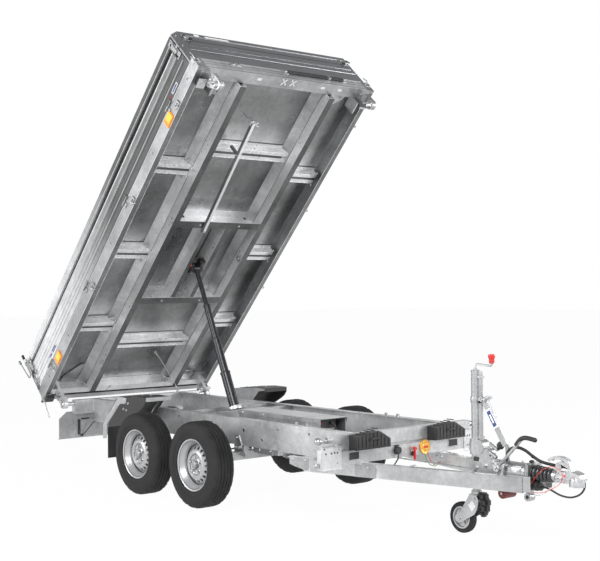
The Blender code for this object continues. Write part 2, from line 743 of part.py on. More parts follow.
def beaded_section():
    """A side wall's section: beads on a flat panel, a deep groove and a top tube that stands proud."""
    section = [(-WALL_THICK, 0.0), (0.0, 0.0)]
    for middle in WALL_BEADS:
        section += [(0.0, middle - 0.012), (BEAD_RISE, middle - 0.005), (BEAD_RISE, middle + 0.005),
                    (0.0, middle + 0.012)]
    low, high = TOP_GROOVE
    section += [(0.0, low - 0.003), (-0.010, low), (-0.010, high), (BEAD_RISE, high + 0.003),
                (BEAD_RISE, WALL_HEIGHT), (-WALL_THICK, WALL_HEIGHT)]
    return section


BEAD_RISE = 0.004
WALL_BEADS = (0.080, 0.165)
TOP_GROOVE = (0.242, 0.274)


def side_wall(side):
    foot = bed_z(RIM_HEIGHT + SEAT)
    outline = [(BED_HALF_WIDTH + out, foot + up) for out, up in beaded_section()]
    span = (bed_x(POST_WIDTH + PANEL_GAP), bed_x(BED_LENGTH - POST_WIDTH - PANEL_GAP))
    pieces = [mirrored(section_along_x(outline, span), side)]
    for u in HINGE_STATIONS:
        pieces.append(hinge_leaf(side, u, 1))
    return fused(pieces)


def headboard():
    """The ribbed front wall between its two corner posts."""
    foot = bed_z(WALL_W)
    front = bed_x(BED_LENGTH)
    outline = [(front + out, foot + up) for out, up in grooved_section()]
    half = BED_HALF_WIDTH
    pieces = [section_along_y([outline], (-half + POST_WIDTH - 0.001, half - POST_WIDTH + 0.001))]
    for side in (1, -1):
        near, face = front - POST_WIDTH, front - 0.0005
        outline = [(near, half - POST_WIDTH), (face, half - POST_WIDTH), (face, half - POST_CHAMFER),
                   (front - POST_CHAMFER, half), (near, half)]
        outline = [(x, side * y) for x, y in outline]
        pieces.append(plan_plate([outline], (bed_z(RIM_HEIGHT + SEAT), bed_z(WALL_TOP_W))))
    return fused(pieces)


def tailgate():
    foot = bed_z(WALL_W)
    outline = [(bed_x(0) - out, foot + up) for out, up in grooved_section()]
    half = BED_HALF_WIDTH - POST_WIDTH - PANEL_GAP
    pieces = [section_along_y([outline], (-half, half))]
    for side in (1, -1):
        pieces.append(rod((bed_x(TAILGATE_U), side * (half - 0.02), bed_z(TAILGATE_W)),
                          (bed_x(TAILGATE_U), side * (half + PANEL_GAP + 0.030), bed_z(TAILGATE_W)),
                          TAILGATE_PIN_R, 12))
    return fused(pieces)


def ram_head_bracket():
    """Two lugs under a plate between the bed's ram channels."""
    x = bed_x(RAM_HEAD_U)
    inner = RAM_CHANNEL_V - 0.0003
    top = bed_z(0.035)
    pieces = [block((x - 0.060, x + 0.060), (-inner, inner), (top - 0.008, top))]
    for side in (1, -1):
        outline = [(x - 0.045, top - 0.004), (x + 0.045, top - 0.004), (x + 0.022, bed_z(RAM_HEAD_W) - 0.020),
                   (x - 0.022, bed_z(RAM_HEAD_W) - 0.020)]
        y = side * 0.036
        pieces.append(section_along_y([outline], (y - 0.005, y + 0.005)))
        pieces.append(rod((x, side * 0.038, bed_z(RAM_HEAD_W)), (x, side * 0.050, bed_z(RAM_HEAD_W)), 0.013, 10))
    return fused(pieces)


def safety_prop():
    """The stay stowed under the bed between the front hat and the front heavy bar."""
    radius = 0.0115
    w = 0.002 - BED_BEAM_DROP - radius - SEAT
    start, end = (bed_x(2.060), -0.160, bed_z(w)), (bed_x(3.179), -0.214, bed_z(w))
    hook = (bed_x(2.870), -0.1991, bed_z(w))
    over = bed_z(RIM_HEIGHT - 0.0005 - HAT_DROP) - 0.003 - SEAT
    pieces = [rod(start, end, radius, 10)]
    pieces.append(block((hook[0] - 0.010, hook[0] + 0.010), (hook[1] - 0.010, hook[1] + 0.010), (hook[2], over)))
    return fused(pieces)


# Ram

def ram_radius(stage):
    """Outer radius of the base (0) and of each stage."""
    return RAM_BASE_R - stage * (RAM_WALL + RAM_GAP)


def ram_tube(stage):
    """One drawn tube about the origin, with the closed ram's gimbal at height 0."""
    outer = ram_radius(stage)
    inner = outer - RAM_WALL
    low = -RAM_TUBE_BELOW + 0.012 * (stage + 1) if stage else -RAM_TUBE_BELOW
    high = 0.050 + RAM_COLLAR * stage
    return [(inner, low), (inner, high), (outer, high), (outer, low)]


def ram_base():
    high = 0.050
    outer = RAM_BASE_R
    inner = outer - RAM_WALL
    low = -RAM_TUBE_BELOW
    profile = [(0.0, low + 0.010), (inner, low + 0.010), (inner, high), (outer + 0.004, high),
               (outer + 0.004, high - 0.018), (outer, high - 0.018), (outer, low), (0.0, low)]
    body = turned(profile, 24, Matrix.Identity(4), closed=False)
    pins = []
    for side in (1, -1):
        pins.append(rod((0, side * (inner + 0.002), 0), (0, side * 0.085, 0), 0.016))
    return fused([body] + pins)


def ram_stage(stage):
    if stage < RAM_STAGES:
        return turned(ram_tube(stage), 24, Matrix.Identity(4))
    outer = ram_radius(stage)
    low = -RAM_TUBE_BELOW + 0.012 * (stage + 1)
    eye = ram_reach(0)[0]
    pieces = [rod((0, 0, low), (0, 0, eye), outer)]
    pieces.append(rod((0, -0.030, eye), (0, 0.030, eye), 0.022))
    return fused(pieces)


# Drawbar equipment

def overrun_housing():
    """The cast housing of the overrun device, clamped on the drawbar's front."""
    low, high = HOUSING_X
    pieces = [rod((low, 0, TOW_Z + 0.010), (high, 0, TOW_Z + 0.010), 0.046, 20)]
    pieces.append(block((low + 0.010, high + 0.004), (-0.060, 0.060), (FOOT_PLATE_TOP + SEAT, TOW_Z)))
    pieces.append(block((high + SEAT, high + 0.008), (-0.068, 0.068), (0.352, 0.520)))
    return fused(pieces)


def bellows():
    """The ribbed rubber sleeve over the towing tube."""
    start = HOUSING_X[1] + 0.008 + SEAT
    end = start + 0.150
    ribs = 5
    pitch = (end - start) / ribs
    profile = [(0.0, 0.0), (0.030, 0.0)]
    for i in range(ribs):
        profile += [(BELLOWS_R, pitch * (i + 0.35)), (BELLOWS_R, pitch * (i + 0.65)), (0.033, pitch * (i + 1))]
    profile.append((0.0, pitch * ribs))
    profile.reverse()
    turn = Matrix.Translation((start, 0, TOW_Z)) @ Matrix.Rotation(math.pi / 2, 4, "Y")
    return turned(profile, 12, turn, closed=False)


def coupling():
    """The towing tube's end and the ball coupling with its handle."""
    start = HOUSING_X[1] + 0.008 + 2 * SEAT + 0.150
    tip = COUPLING_TIP_X
    ball_x = tip - 0.047
    pieces = [rod((start, 0, TOW_Z), (start + 0.080, 0, TOW_Z), 0.030, 20)]
    pieces.append(block((start + 0.030, ball_x), (-0.032, 0.032), (TOW_Z - 0.030, TOW_Z + 0.024)))
    pieces.append(rod((ball_x, 0, TOW_Z - 0.045), (ball_x, 0, TOW_Z + 0.018), 0.047, 20, 0.034))
    shell = fused(pieces)
    shell = cut(shell, [rod((ball_x, 0, TOW_Z - 0.060), (ball_x, 0, TOW_Z - 0.005), 0.0265, 20)])
    handle = [(start + 0.010, TOW_Z + 0.020), (start + 0.020, TOW_Z + 0.085), (start + 0.060, TOW_Z + 0.100),
              (start + 0.130, TOW_Z + 0.075), (start + 0.140, TOW_Z + 0.010), (start + 0.110, TOW_Z + 0.010),
              (start + 0.105, TOW_Z + 0.060), (start + 0.060, TOW_Z + 0.078), (start + 0.040, TOW_Z + 0.070),
              (start + 0.045, TOW_Z + 0.015)]
    return fused([shell, section_along_y([handle], (-0.012, 0.012))])


def brake_lever():
    """The parking brake's lever beside the overrun housing."""
    y = -0.080
    route = [(2.660, y, 0.480), (2.819, y, 0.636), (2.860, y, 0.682), (2.890, y, 0.690), (2.961, y, 0.676)]
    lever = tube(smooth_route(route, 0.035), 0.011, 2)
    boss = rod((2.660, -0.0603, 0.480), (2.660, y - 0.016, 0.480), 0.026, 16)
    foot = block((2.630, 2.700), (-0.074, -0.0603), (0.430, 0.505))
    return fused([lever, boss, foot])


def jockey_post():
    """The jockey wheel's outer post, its foot casting, its strut and its crank."""
    x = POST_X
    bore = LEG_R + 0.0008
    post = turned([(0.0, POST_TOP_Z), (POST_R, POST_TOP_Z), (POST_R, POST_LOW_Z), (bore, POST_LOW_Z),
                   (bore, POST_TOP_Z - 0.012), (0.0, POST_TOP_Z - 0.012)], 20,
                  Matrix.Translation((x, 0, 0)), closed=False)
    side_tube = rod((x + 0.042, 0, 0.500), (x + 0.042, 0, POST_TOP_Z - 0.006), 0.016)
    foot = FOOT_PLATE_TOP + SEAT
    casting = [(x + 0.027, foot), (x + 0.190, foot), (x + 0.190, 0.470), (x + 0.110, 0.560), (x + 0.027, 0.600)]
    pieces = [post, side_tube, section_along_y([casting], (-0.030, 0.030))]
    pieces.append(tube([(x + 0.040, 0, 0.900), (x + 0.075, 0, 0.894), (x + 0.200, 0, 0.700), (x + 0.262, 0, 0.600),
                        (x + 0.262, 0, TOW_Z + 0.056 + SEAT)], 0.013, 2))
    crank = tube([(x, 0, POST_TOP_Z - 0.01), (x, 0, 1.112), (x + 0.01, 0, 1.120), (x + 0.128, 0, 1.112),
                  (x + 0.138, 0, 1.120), (x + 0.138, 0, 1.135)], 0.007, 1)
    pieces.append(crank)
    pieces.append(rod((x + 0.138, 0, 1.130), (x + 0.138, 0, 1.185), 0.017))
    return fused(pieces)


def jockey_leg():
    """The leg that slides in the post, with the fold block on its foot."""
    x = POST_X
    pieces = [rod((x, 0, 0.285), (x, 0, 0.700), LEG_R, 20)]
    pieces.append(rod((x, 0, 0.272), (x, 0, 0.292), 0.034, 20))
    return fused(pieces)


def jockey_fork():
    """The swivelling fork that trails the jockey wheel."""
    x = POST_X
    wheel_x = x - JOCKEY_TRAIL
    cheek = JOCKEY_HALF_WIDTH + 0.008
    pieces = [block((x - 0.034, x + 0.034), (-cheek - 0.006, cheek + 0.006), (0.235, 0.2717))]
    for side in (1, -1):
        y = side * (cheek + 0.003)
        outline = [(x + 0.034, 0.250), (x - 0.034, 0.262), (wheel_x - 0.016, JOCKEY_Z + 0.010),
                   (wheel_x - 0.006, JOCKEY_Z - 0.018), (wheel_x + 0.014, JOCKEY_Z - 0.016), (x + 0.030, 0.215)]
        pieces.append(section_along_y([outline], (y - 0.003, y + 0.003)))
    pieces.append(rod((wheel_x, -cheek - 0.010, JOCKEY_Z), (wheel_x, cheek + 0.010, JOCKEY_Z), 0.008, 12))
    return fused(pieces)


def jockey_matrix():
    turn = Matrix.Rotation(-math.pi / 2, 4, "X")
    flat = Matrix.Rotation(math.pi / JOCKEY_STEPS, 4, "Z")
    return Matrix.Translation((POST_X - JOCKEY_TRAIL, 0, JOCKEY_Z)) @ turn @ flat


def jockey_tyre():
    half = JOCKEY_HALF_WIDTH
    profile = [(0.074, half - 0.004), (0.098, half), (JOCKEY_R, half - 0.008), (JOCKEY_R, 0.008 - half),
               (0.098, -half), (0.074, 0.004 - half)]
    return turned(profile, JOCKEY_STEPS, jockey_matrix())


def jockey_rim():
    half = JOCKEY_HALF_WIDTH - 0.002
    profile = [(0.0088, half), (0.022, half), (0.024, 0.006), (0.060, 0.006), (0.066, half), (0.0737, half),
               (0.0737, -half), (0.066, -half), (0.060, -0.006), (0.024, -0.006), (0.022, -half), (0.0088, -half)]
    return turned(profile, JOCKEY_STEPS, jockey_matrix())


# Pump box, lamps and fittings

PUMP_X = (0.100, 1.090)
PUMP_Y = (-0.200, 0.050)
PUMP_TRAY = 0.006
PUMP_Z = (BEAM_LOW_Z + BEAM_WALL + PUMP_TRAY + 2 * SEAT, 0.662)


def pump_box():
    """The sheet housing of the hydraulic unit, open at its front end."""
    wall = 0.003
    outline = [(PUMP_Y[0], PUMP_Z[0]), (PUMP_Y[1], PUMP_Z[0]), (PUMP_Y[1], PUMP_Z[1]), (PUMP_Y[0], PUMP_Z[1])]
    box = section_along_x(outline, PUMP_X)
    hollow = block((PUMP_X[0] + wall, PUMP_X[1] + 0.01), (PUMP_Y[0] + wall, PUMP_Y[1] - wall),
                   (PUMP_Z[0] + wall, PUMP_Z[1] - wall))
    return cut(box, [hollow])


def battery():
    wall = 0.003 + SEAT
    return block((PUMP_X[1] - 0.360, PUMP_X[1] - 0.060), (PUMP_Y[0] + wall, PUMP_Y[1] - wall - 0.04),
                 (PUMP_Z[0] + wall, PUMP_Z[0] + 0.200))


def pump_tray():
    """A frame that lies on the beams' lower flanges and carries the hydraulic unit."""
    half = BEAM_OUTER_Y - BEAM_WALL - SEAT
    low = BEAM_LOW_Z + BEAM_WALL + SEAT
    rear, front = PUMP_X[0] + 0.060, PUMP_X[1] - 0.060
    outline = [(rear, -half), (front, -half), (front, half), (rear, half)]
    bar, strip = 0.100, 0.040
    hole = [(rear + bar, -half + strip), (front - bar, -half + strip), (front - bar, half - strip),
            (rear + bar, half - strip)]
    return plan_plate([outline, hole], (low, low + PUMP_TRAY))


def outrigger(side):
    """The bracket over each rear wheel that holds the mud flap behind it."""
    inner, outer = BEAM_OUTER_Y + SEAT, WHEEL_Y - 0.047
    behind = -AXLE_SPACING / 2 - TYRE_R
    over = 2 * TYRE_R
    roof = [(behind - 0.296, over - 0.050), (behind - 0.172, over + 0.080), (behind + 0.118, over + 0.102),
            (behind + 0.278, over + 0.100)]
    skin = 0.003
    outline = roof + [(behind + 0.274, over + 0.083), (behind + 0.188, over + 0.073), (behind + 0.086, over - 0.023),
                      (behind + 0.058, over - 0.090), (behind - 0.243, over - 0.090)]
    side_plate = section_along_y([outline], (inner, inner + 0.005))
    cover = section_along_y([folded([(x, z - 0.001) for x, z in roof], skin)], (inner + 0.002, outer))
    flap_x = behind - FLAP_GAP
    flap_outer = WHEEL_Y + TYRE_HALF_WIDTH - 0.010
    hanger = block((flap_x - skin, flap_x), (outer - 0.100, flap_outer), (over - 0.090, over + 0.0905))
    flap = block((flap_x - 0.001, flap_x + 0.003), (outer - 0.060, flap_outer), (0.170, over - 0.050))
    return mirrored(fused([side_plate, cover, hanger, flap]), side)


FLAP_GAP = 0.040


LIGHT_BAR_HALF = BED_HALF_WIDTH - 0.0825


def light_bar():
    """The lamp carrier across the rear with its two chassis legs."""
    x = CHASSIS_REAR_X - CROSS_DEPTH - SEAT
    wall = 0.003
    corner = 0.075
    half = LIGHT_BAR_HALF
    outline = [(-half, 0.300), (half, 0.300), (half, 0.480), (half - corner, 0.540), (-half + corner, 0.540),
               (-half, 0.480)]
    panel = section_along_x(outline, (x - wall - SEAT, x - SEAT))
    lip = block((x - 0.030, x - SEAT), (-half + 0.001, half - 0.001), (0.300, 0.303))
    return fused([panel, lip])


def rear_lamp(side):
    x = CHASSIS_REAR_X - CROSS_DEPTH - 3 * SEAT - 0.003
    return mirrored(block((x - 0.045, x), (LIGHT_BAR_HALF - 0.320, LIGHT_BAR_HALF - 0.080), (0.330, 0.460)), side)


CHOCK_Y = 0.375


def wheel_chock(y_middle):
    """A stowed chock in front of the crossmember."""
    x = CHASSIS_FRONT_X + SEAT
    wedge = [(y_middle - 0.155, 0.550), (y_middle + 0.155, 0.550), (y_middle + 0.155, 0.600),
             (y_middle + 0.060, 0.655), (y_middle - 0.155, 0.640)]
    return section_along_x(wedge, (x, x + 0.080))


def plug_and_socket():
    """The park socket on the drawbar plate with the cable's plug in it."""
    start = HOUSING_X[1] + 0.008 + SEAT
    return rod((start, -0.030, 0.390), (start + 0.075, -0.030, 0.390), 0.024, 16)


CABLE_R = 0.006
CABLE_ROUTE = [
    (2.700, -0.035, 0.5180), (2.700, -0.035, 0.556), (2.722, -0.030, 0.596), (2.775, -0.022, 0.612),
    (2.828, -0.008, 0.596), (2.868, 0.014, 0.562), (2.915, 0.036, 0.532), (2.980, 0.050, 0.520),
    (3.055, 0.057, 0.514), (3.130, 0.062, 0.502), (3.195, 0.064, 0.470), (3.226, 0.058, 0.420),
    (3.208, 0.040, 0.370), (3.158, 0.014, 0.345), (3.098, -0.010, 0.352), (3.045, -0.025, 0.376),
    (3.005, -0.030, 0.389), (2.9688, -0.030, 0.3900)]

BREAKAWAY_R = 0.002
BREAKAWAY_ROUTE = [
    (2.8940, -0.060, 0.400), (2.915, -0.063, 0.410), (2.950, -0.066, 0.450), (3.000, -0.066, 0.500),
    (3.060, -0.062, 0.528), (3.110, -0.056, 0.520), (3.140, -0.050, 0.490), (3.130, -0.050, 0.440),
    (3.080, -0.056, 0.400), (3.010, -0.064, 0.366), (2.950, -0.066, 0.356), (2.8940, -0.066, 0.362)]


def joint_empties(root):
    """An empty on every joint's axis, by name."""
    pivots = {"chassis": root}
    pivots["bed"] = empty("bed_pivot", (BALL_X, 0, BALL_Z), root)
    for name, side in (("wall_left", 1), ("wall_right", -1)):
        place = (bed_x(0), side * (BED_HALF_WIDTH + HINGE_OUT), bed_z(RIM_HEIGHT))
        pivots[name] = empty(name + "_pivot", place, pivots["bed"])
    pivots["tailgate"] = empty("tailgate_pivot", (bed_x(TAILGATE_U), 0, bed_z(TAILGATE_W)), pivots["bed"])
    for name, x, side in WHEELS:
        pivots[name] = empty(name + "_pivot", (x, side * WHEEL_Y, AXLE_Z), root)
    pivots["jockey_leg"] = empty("jockey_leg_pivot", (POST_X, 0, 0.0), root)
    pivots["jockey_fork"] = empty("jockey_fork_pivot", (POST_X, 0, 0.0), pivots["jockey_leg"])
    pivots["jockey_wheel"] = empty("jockey_wheel_pivot", (POST_X - JOCKEY_TRAIL, 0, JOCKEY_Z),
                                   pivots["jockey_fork"])
    return pivots


WHEELS = (
    ("wheel_front_left", AXLE_SPACING / 2, 1), ("wheel_front_right", AXLE_SPACING / 2, -1),
    ("wheel_rear_left", -AXLE_SPACING / 2, 1), ("wheel_rear_right", -AXLE_SPACING / 2, -1))


def ram_reach(angle):
    """The ram head at one bed angle, as length and tilt from vertical, seen from the gimbal."""
    arm = Vector((bed_x(RAM_HEAD_U) - BALL_X, bed_z(RAM_HEAD_W) - BALL_Z))
    head = Matrix.Rotation(angle, 2) @ arm + Vector((BALL_X, BALL_Z))
    reach = head - Vector((GIMBAL_X, GIMBAL_Z))
    return reach.length, math.atan2(reach.x, reach.y)


def build_ram(root, finish):
    """The base on its gimbal and the stages drawn out of it, each hung on the one before."""
    length, tilt = ram_reach(BED_ANGLE)
    travel = (length - ram_reach(0)[0]) / RAM_STAGES
    pivot = empty("ram_pivot", (GIMBAL_X, 0, GIMBAL_Z), root)
    pivot.rotation_euler = (0, tilt, 0)
    pivot["rest"] = (0.0, 0.0, 0.0)
    node("ram_base", ram_base(), pivot, finish["black"])
    for stage in range(1, RAM_STAGES + 1):
        step = empty("ram_stage_%d_pivot" % stage, (0, 0, travel), pivot)
        step["rest"] = (0.0, 0.0, 0.0)
        node("ram_stage_%d" % stage, ram_stage(stage), step, finish["dark_steel"])
        pivot = step


def stand_on_origin(root):
    """Puts the middle of the whole trailer's box over the origin, apart from its free cords."""
    bpy.context.view_layer.update()
    low, high = Vector((1e9,) * 3), Vector((-1e9,) * 3)
    for obj in bpy.data.collections[COLLECTION].objects:
        if obj.type != "MESH" or obj.name in CORD_NODES:
            continue
        for vertex in obj.data.vertices:
            place = obj.matrix_world @ vertex.co
            for k in range(3):
                low[k] = min(low[k], place[k])
                high[k] = max(high[k], place[k])
    root.location = (-(low.x + high.x) / 2, -(low.y + high.y) / 2, -low.z)


CORD_NODES = ("electric_cable", "breakaway_cable", "cable_plug")


def build():
    for obj in list(bpy.data.objects):
        bpy.data.objects.remove(obj)
    bpy.context.scene.collection.children.link(bpy.data.collections.new(COLLECTION))
    finish = {
        "galvanised": material("galvanised", (0.62, 0.63, 0.64), 0.42, 0.85),
        "aluminium": material("aluminium", (0.75, 0.76, 0.77), 0.35, 0.90),
        "silver": material("silver_paint", (0.72, 0.73, 0.74), 0.35, 0.60),
        "dark_steel": material("dark_steel", (0.10, 0.10, 0.11), 0.40, 0.60),
        "black": material("black_paint", (0.03, 0.03, 0.03), 0.45, 0.10),
        "rubber": material("rubber", (0.03, 0.03, 0.03), 0.80, 0.0),
        "plastic": material("black_plastic", (0.02, 0.02, 0.02), 0.55, 0.0),
        "red": material("red_plastic", (0.55, 0.03, 0.03), 0.45, 0.0)}
    galvanised = finish["galvanised"]
    root = empty("trailer", (0, 0, 0))
    pivots = joint_empties(root)

    for side, hand in ((1, "left"), (-1, "right")):
        node("chassis_beam_" + hand, chassis_beam(side), root, galvanised)
        node("outrigger_" + hand, outrigger(side), root, finish["black"])
        node("rear_lamp_" + hand, rear_lamp(side), root, finish["red"])
        wall = "wall_" + hand
        node("side_" + wall, side_wall(side), pivots[wall], finish["aluminium"])
        node("bed_beam_" + hand, bed_beam(side), pivots["bed"], galvanised)
    node("front_crossmember", front_crossmember(), root, galvanised)
    node("rear_crossmember", rear_crossmember(), root, galvanised)
    node("ram_crossmember", ram_crossmember(), root, galvanised)
    node("axle_front", axle(AXLE_SPACING / 2), root, galvanised)
    node("axle_rear", axle(-AXLE_SPACING / 2), root, galvanised)
    node("drawbar", drawbar(), root, galvanised)
    node("overrun_housing", overrun_housing(), root, galvanised)
    node("overrun_bellows", bellows(), root, finish["rubber"])
    node("coupling_head", coupling(), root, galvanised)
    node("parking_brake_lever", brake_lever(), root, galvanised)
    node("jockey_post", jockey_post(), root, galvanised)
    node("pump_box", pump_box(), root, galvanised)
    node("pump_tray", pump_tray(), root, galvanised)
    node("battery", battery(), root, finish["plastic"])
    node("light_bar", light_bar(), root, galvanised)
    node("wheel_chock_right", wheel_chock(-CHOCK_Y), root, finish["plastic"])
    node("wheel_chock_left", wheel_chock(CHOCK_Y), root, finish["plastic"])
    node("cable_plug", plug_and_socket(), root, finish["plastic"])

    for name, x, side in WHEELS:
        node(name + "_tyre", tyre(x, side), pivots[name], finish["rubber"])
        node(name, wheel(x, side), pivots[name], finish["silver"])

    bed = pivots["bed"]
    node("bed_rim", bed_rim(), bed, galvanised)
    node("bed_ram_frame", bed_ram_frame(), bed, galvanised)
    node("bed_hat_rear", bed_centre_hat(CENTRE_HATS[0]), bed, galvanised)
    node("bed_hat_front", bed_centre_hat(CENTRE_HATS[1]), bed, galvanised)
    node("bed_end_bar_rear", bed_end_bar(END_BARS[0], BALL_X), bed, galvanised)
    node("bed_end_bar_front", bed_end_bar(END_BARS[1], BALL_FRONT_X), bed, galvanised)
    node("bed_floor", bed_floor(), bed, galvanised)
    node("headboard", headboard(), bed, finish["aluminium"])
    node("tailgate", tailgate(), pivots["tailgate"], finish["aluminium"])
    node("ram_head_bracket", ram_head_bracket(), bed, finish["black"])
    node("safety_prop", safety_prop(), bed, galvanised)
    bed.rotation_euler = (0, -BED_ANGLE, 0)

    build_ram(root, finish)

    node("jockey_leg", jockey_leg(), pivots["jockey_leg"], galvanised)
    node("jockey_fork", jockey_fork(), pivots["jockey_fork"], galvanised)
    node("jockey_tyre", jockey_tyre(), pivots["jockey_wheel"], finish["rubber"])
    node("jockey_rim", jockey_rim(), pivots["jockey_wheel"], galvanised)

    node("electric_cable", tube(smooth_route(CABLE_ROUTE, 0.040), CABLE_R, 1), root, finish["plastic"])
    node("breakaway_cable", tube(smooth_route(BREAKAWAY_ROUTE, 0.030), BREAKAWAY_R, 0), root, finish["red"])

    stand_on_origin(root)


build()
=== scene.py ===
"""A galvanised tandem-axle tipping trailer with its bed raised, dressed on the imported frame."""

import json
import math

import bmesh
import bpy
from mathutils import Matrix, Vector


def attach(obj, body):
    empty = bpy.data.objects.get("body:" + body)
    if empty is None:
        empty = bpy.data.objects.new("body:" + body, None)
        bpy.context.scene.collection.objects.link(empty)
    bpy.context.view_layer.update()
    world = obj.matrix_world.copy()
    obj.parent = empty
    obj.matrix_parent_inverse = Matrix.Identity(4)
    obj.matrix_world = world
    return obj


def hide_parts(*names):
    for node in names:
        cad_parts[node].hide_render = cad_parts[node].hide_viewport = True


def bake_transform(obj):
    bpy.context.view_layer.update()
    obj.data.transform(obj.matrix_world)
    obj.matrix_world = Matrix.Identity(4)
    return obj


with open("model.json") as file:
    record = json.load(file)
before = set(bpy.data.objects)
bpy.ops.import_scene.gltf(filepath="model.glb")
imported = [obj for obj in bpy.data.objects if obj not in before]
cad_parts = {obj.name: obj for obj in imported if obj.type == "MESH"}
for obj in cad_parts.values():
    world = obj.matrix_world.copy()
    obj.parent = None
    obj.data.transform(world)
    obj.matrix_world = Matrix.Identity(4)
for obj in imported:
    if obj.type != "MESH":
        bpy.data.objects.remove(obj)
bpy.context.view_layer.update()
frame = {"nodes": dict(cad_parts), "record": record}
NODES = frame["nodes"]
JOINTS = {joint["name"]: joint for joint in frame["record"]["behaviour"]["joints"]}

# The drawing frame has the middle between the axles at x = 0.
BALL_X = -1.724
BALL_Y = 0.765
BALL_Z = 0.613
SHIFT_X = JOINTS["bed_tip"]["pos_m"][0] - BALL_X
BED_ANGLE = math.radians(46.6)
RIM_ABOVE_BALL = 0.154
BED_U_OF_BALL = 0.099
BED_LENGTH = 3.584
BED_HALF_WIDTH = 0.8825
RIM_HEIGHT = 0.117

HERE = Matrix.Translation((SHIFT_X, 0, 0))
BED = (Matrix.Translation((BALL_X + SHIFT_X, 0, BALL_Z)) @ Matrix.Rotation(-BED_ANGLE, 4, "Y")
       @ Matrix.Translation((-BED_U_OF_BALL, 0, RIM_ABOVE_BALL)))


# Finishes

def shader_tree(name):
    finish = bpy.data.materials.new(name)
    finish.use_nodes = True
    tree = finish.node_tree
    return finish, tree, tree.nodes["Principled BSDF"]


def add(tree, kind, **values):
    """A node with its properties, or its inputs by name, set."""
    made = tree.nodes.new(kind)
    for key, value in values.items():
        plain = key.replace("_", " ")
        if hasattr(made, key) and plain not in made.inputs:
            setattr(made, key, value)
        else:
            made.inputs[plain].default_value = value
    return made


def ramp(tree, source, stops):
    made = tree.nodes.new("ShaderNodeValToRGB")
    elements = made.color_ramp.elements
    while len(elements) < len(stops):
        elements.new(0.5)
    for element, (place, colour) in zip(elements, stops):
        element.position = place
        if not isinstance(colour, tuple):
            colour = (colour, colour, colour)
        element.color = (*colour, 1)
    tree.links.new(source, made.inputs["Fac"])
    return made.outputs["Color"]


def mix(tree, kind, share, first, second):
    made = tree.nodes.new("ShaderNodeMix")
    made.data_type = "RGBA"
    made.blend_type = kind
    for socket, value in ((made.inputs[0], share), (made.inputs[6], first), (made.inputs[7], second)):
        if isinstance(value, bpy.types.NodeSocket):
            tree.links.new(value, socket)
        elif isinstance(value, tuple):
            socket.default_value = (*value, 1)
        else:
            socket.default_value = value
    return made.outputs[2]


def place(tree, scale=(1, 1, 1)):
    """Coordinates on the piece, stretched by a scale per axis."""
    where = tree.nodes.new("ShaderNodeTexCoord")
    mapping = tree.nodes.new("ShaderNodeMapping")
    mapping.inputs["Scale"].default_value = scale
    tree.links.new(where.outputs["Object"], mapping.inputs["Vector"])
    return mapping.outputs["Vector"]


def noise(tree, where, scale, detail=3.0, rough=0.55):
    made = add(tree, "ShaderNodeTexNoise", Scale=scale, Detail=detail, Roughness=rough)
    tree.links.new(where, made.inputs["Vector"])
    return made.outputs["Fac"]


def bump(tree, shader, height, strength, distance):
    made = add(tree, "ShaderNodeBump", Strength=strength, Distance=distance)
    tree.links.new(height, made.inputs["Height"])
    tree.links.new(made.outputs["Normal"], shader.inputs["Normal"])


def zinc(name, dark, light, rough=(0.34, 0.52), metallic=0.88, spangle=42.0, cloud=2.2, along=None):
    """Hot-dipped zinc: crystal flakes, clouds where it ran off, and dull streaks."""
    finish, tree, shader = shader_tree(name)
    where = place(tree)
    flakes = add(tree, "ShaderNodeTexVoronoi", Scale=spangle)
    flakes.feature = "F1"
    tree.links.new(where, flakes.inputs["Vector"])
    bits = add(tree, "ShaderNodeSeparateColor")
    tree.links.new(flakes.outputs["Color"], bits.inputs[0])
    fine = add(tree, "ShaderNodeTexVoronoi", Scale=spangle * 3.1)
    tree.links.new(where, fine.inputs["Vector"])
    fine_bits = add(tree, "ShaderNodeSeparateColor")
    tree.links.new(fine.outputs["Color"], fine_bits.inputs[0])
    clouds = noise(tree, where, cloud, 5.0, 0.6)
    base = ramp(tree, clouds,
                [(0.3, dark), (0.52, tuple((a + b) / 2 for a, b in zip(dark, light))), (0.74, light)])
    grain = ramp(tree, bits.outputs[0], [(0.0, 0.86), (1.0, 1.0)])
    shade = mix(tree, "MULTIPLY", 1.0, base, grain)
    small = ramp(tree, fine_bits.outputs[1], [(0.0, 0.9), (1.0, 1.0)])
    colour = mix(tree, "MULTIPLY", 0.7, shade, small)
    # An optional tone from the rear end to the front: painted reflection.
    if along:
        colour = graded(tree, colour, along)
    tree.links.new(colour, shader.inputs["Base Color"])
    dull = ramp(tree, bits.outputs[2], [(0.0, rough[0]), (1.0, rough[1])])
    haze = ramp(tree, noise(tree, where, 5.0, 4.0), [(0.35, rough[0]), (0.7, rough[1])])
    tree.links.new(mix(tree, "MIX", 0.5, dull, haze), shader.inputs["Roughness"])
    shader.inputs["Metallic"].default_value = metallic
    bump(tree, shader, noise(tree, where, 60.0, 3.0), 0.1, 0.0015)
    return finish


def graded(tree, colour, stops):
    """A piece whose tone changes from its rear end to its front: a painted reflection."""
    where = tree.nodes.new("ShaderNodeTexCoord")
    parts = add(tree, "ShaderNodeSeparateXYZ")
    tree.links.new(where.outputs["Generated"], parts.inputs[0])
    return mix(tree, "MULTIPLY", 1.0, colour, ramp(tree, parts.outputs["X"], stops))


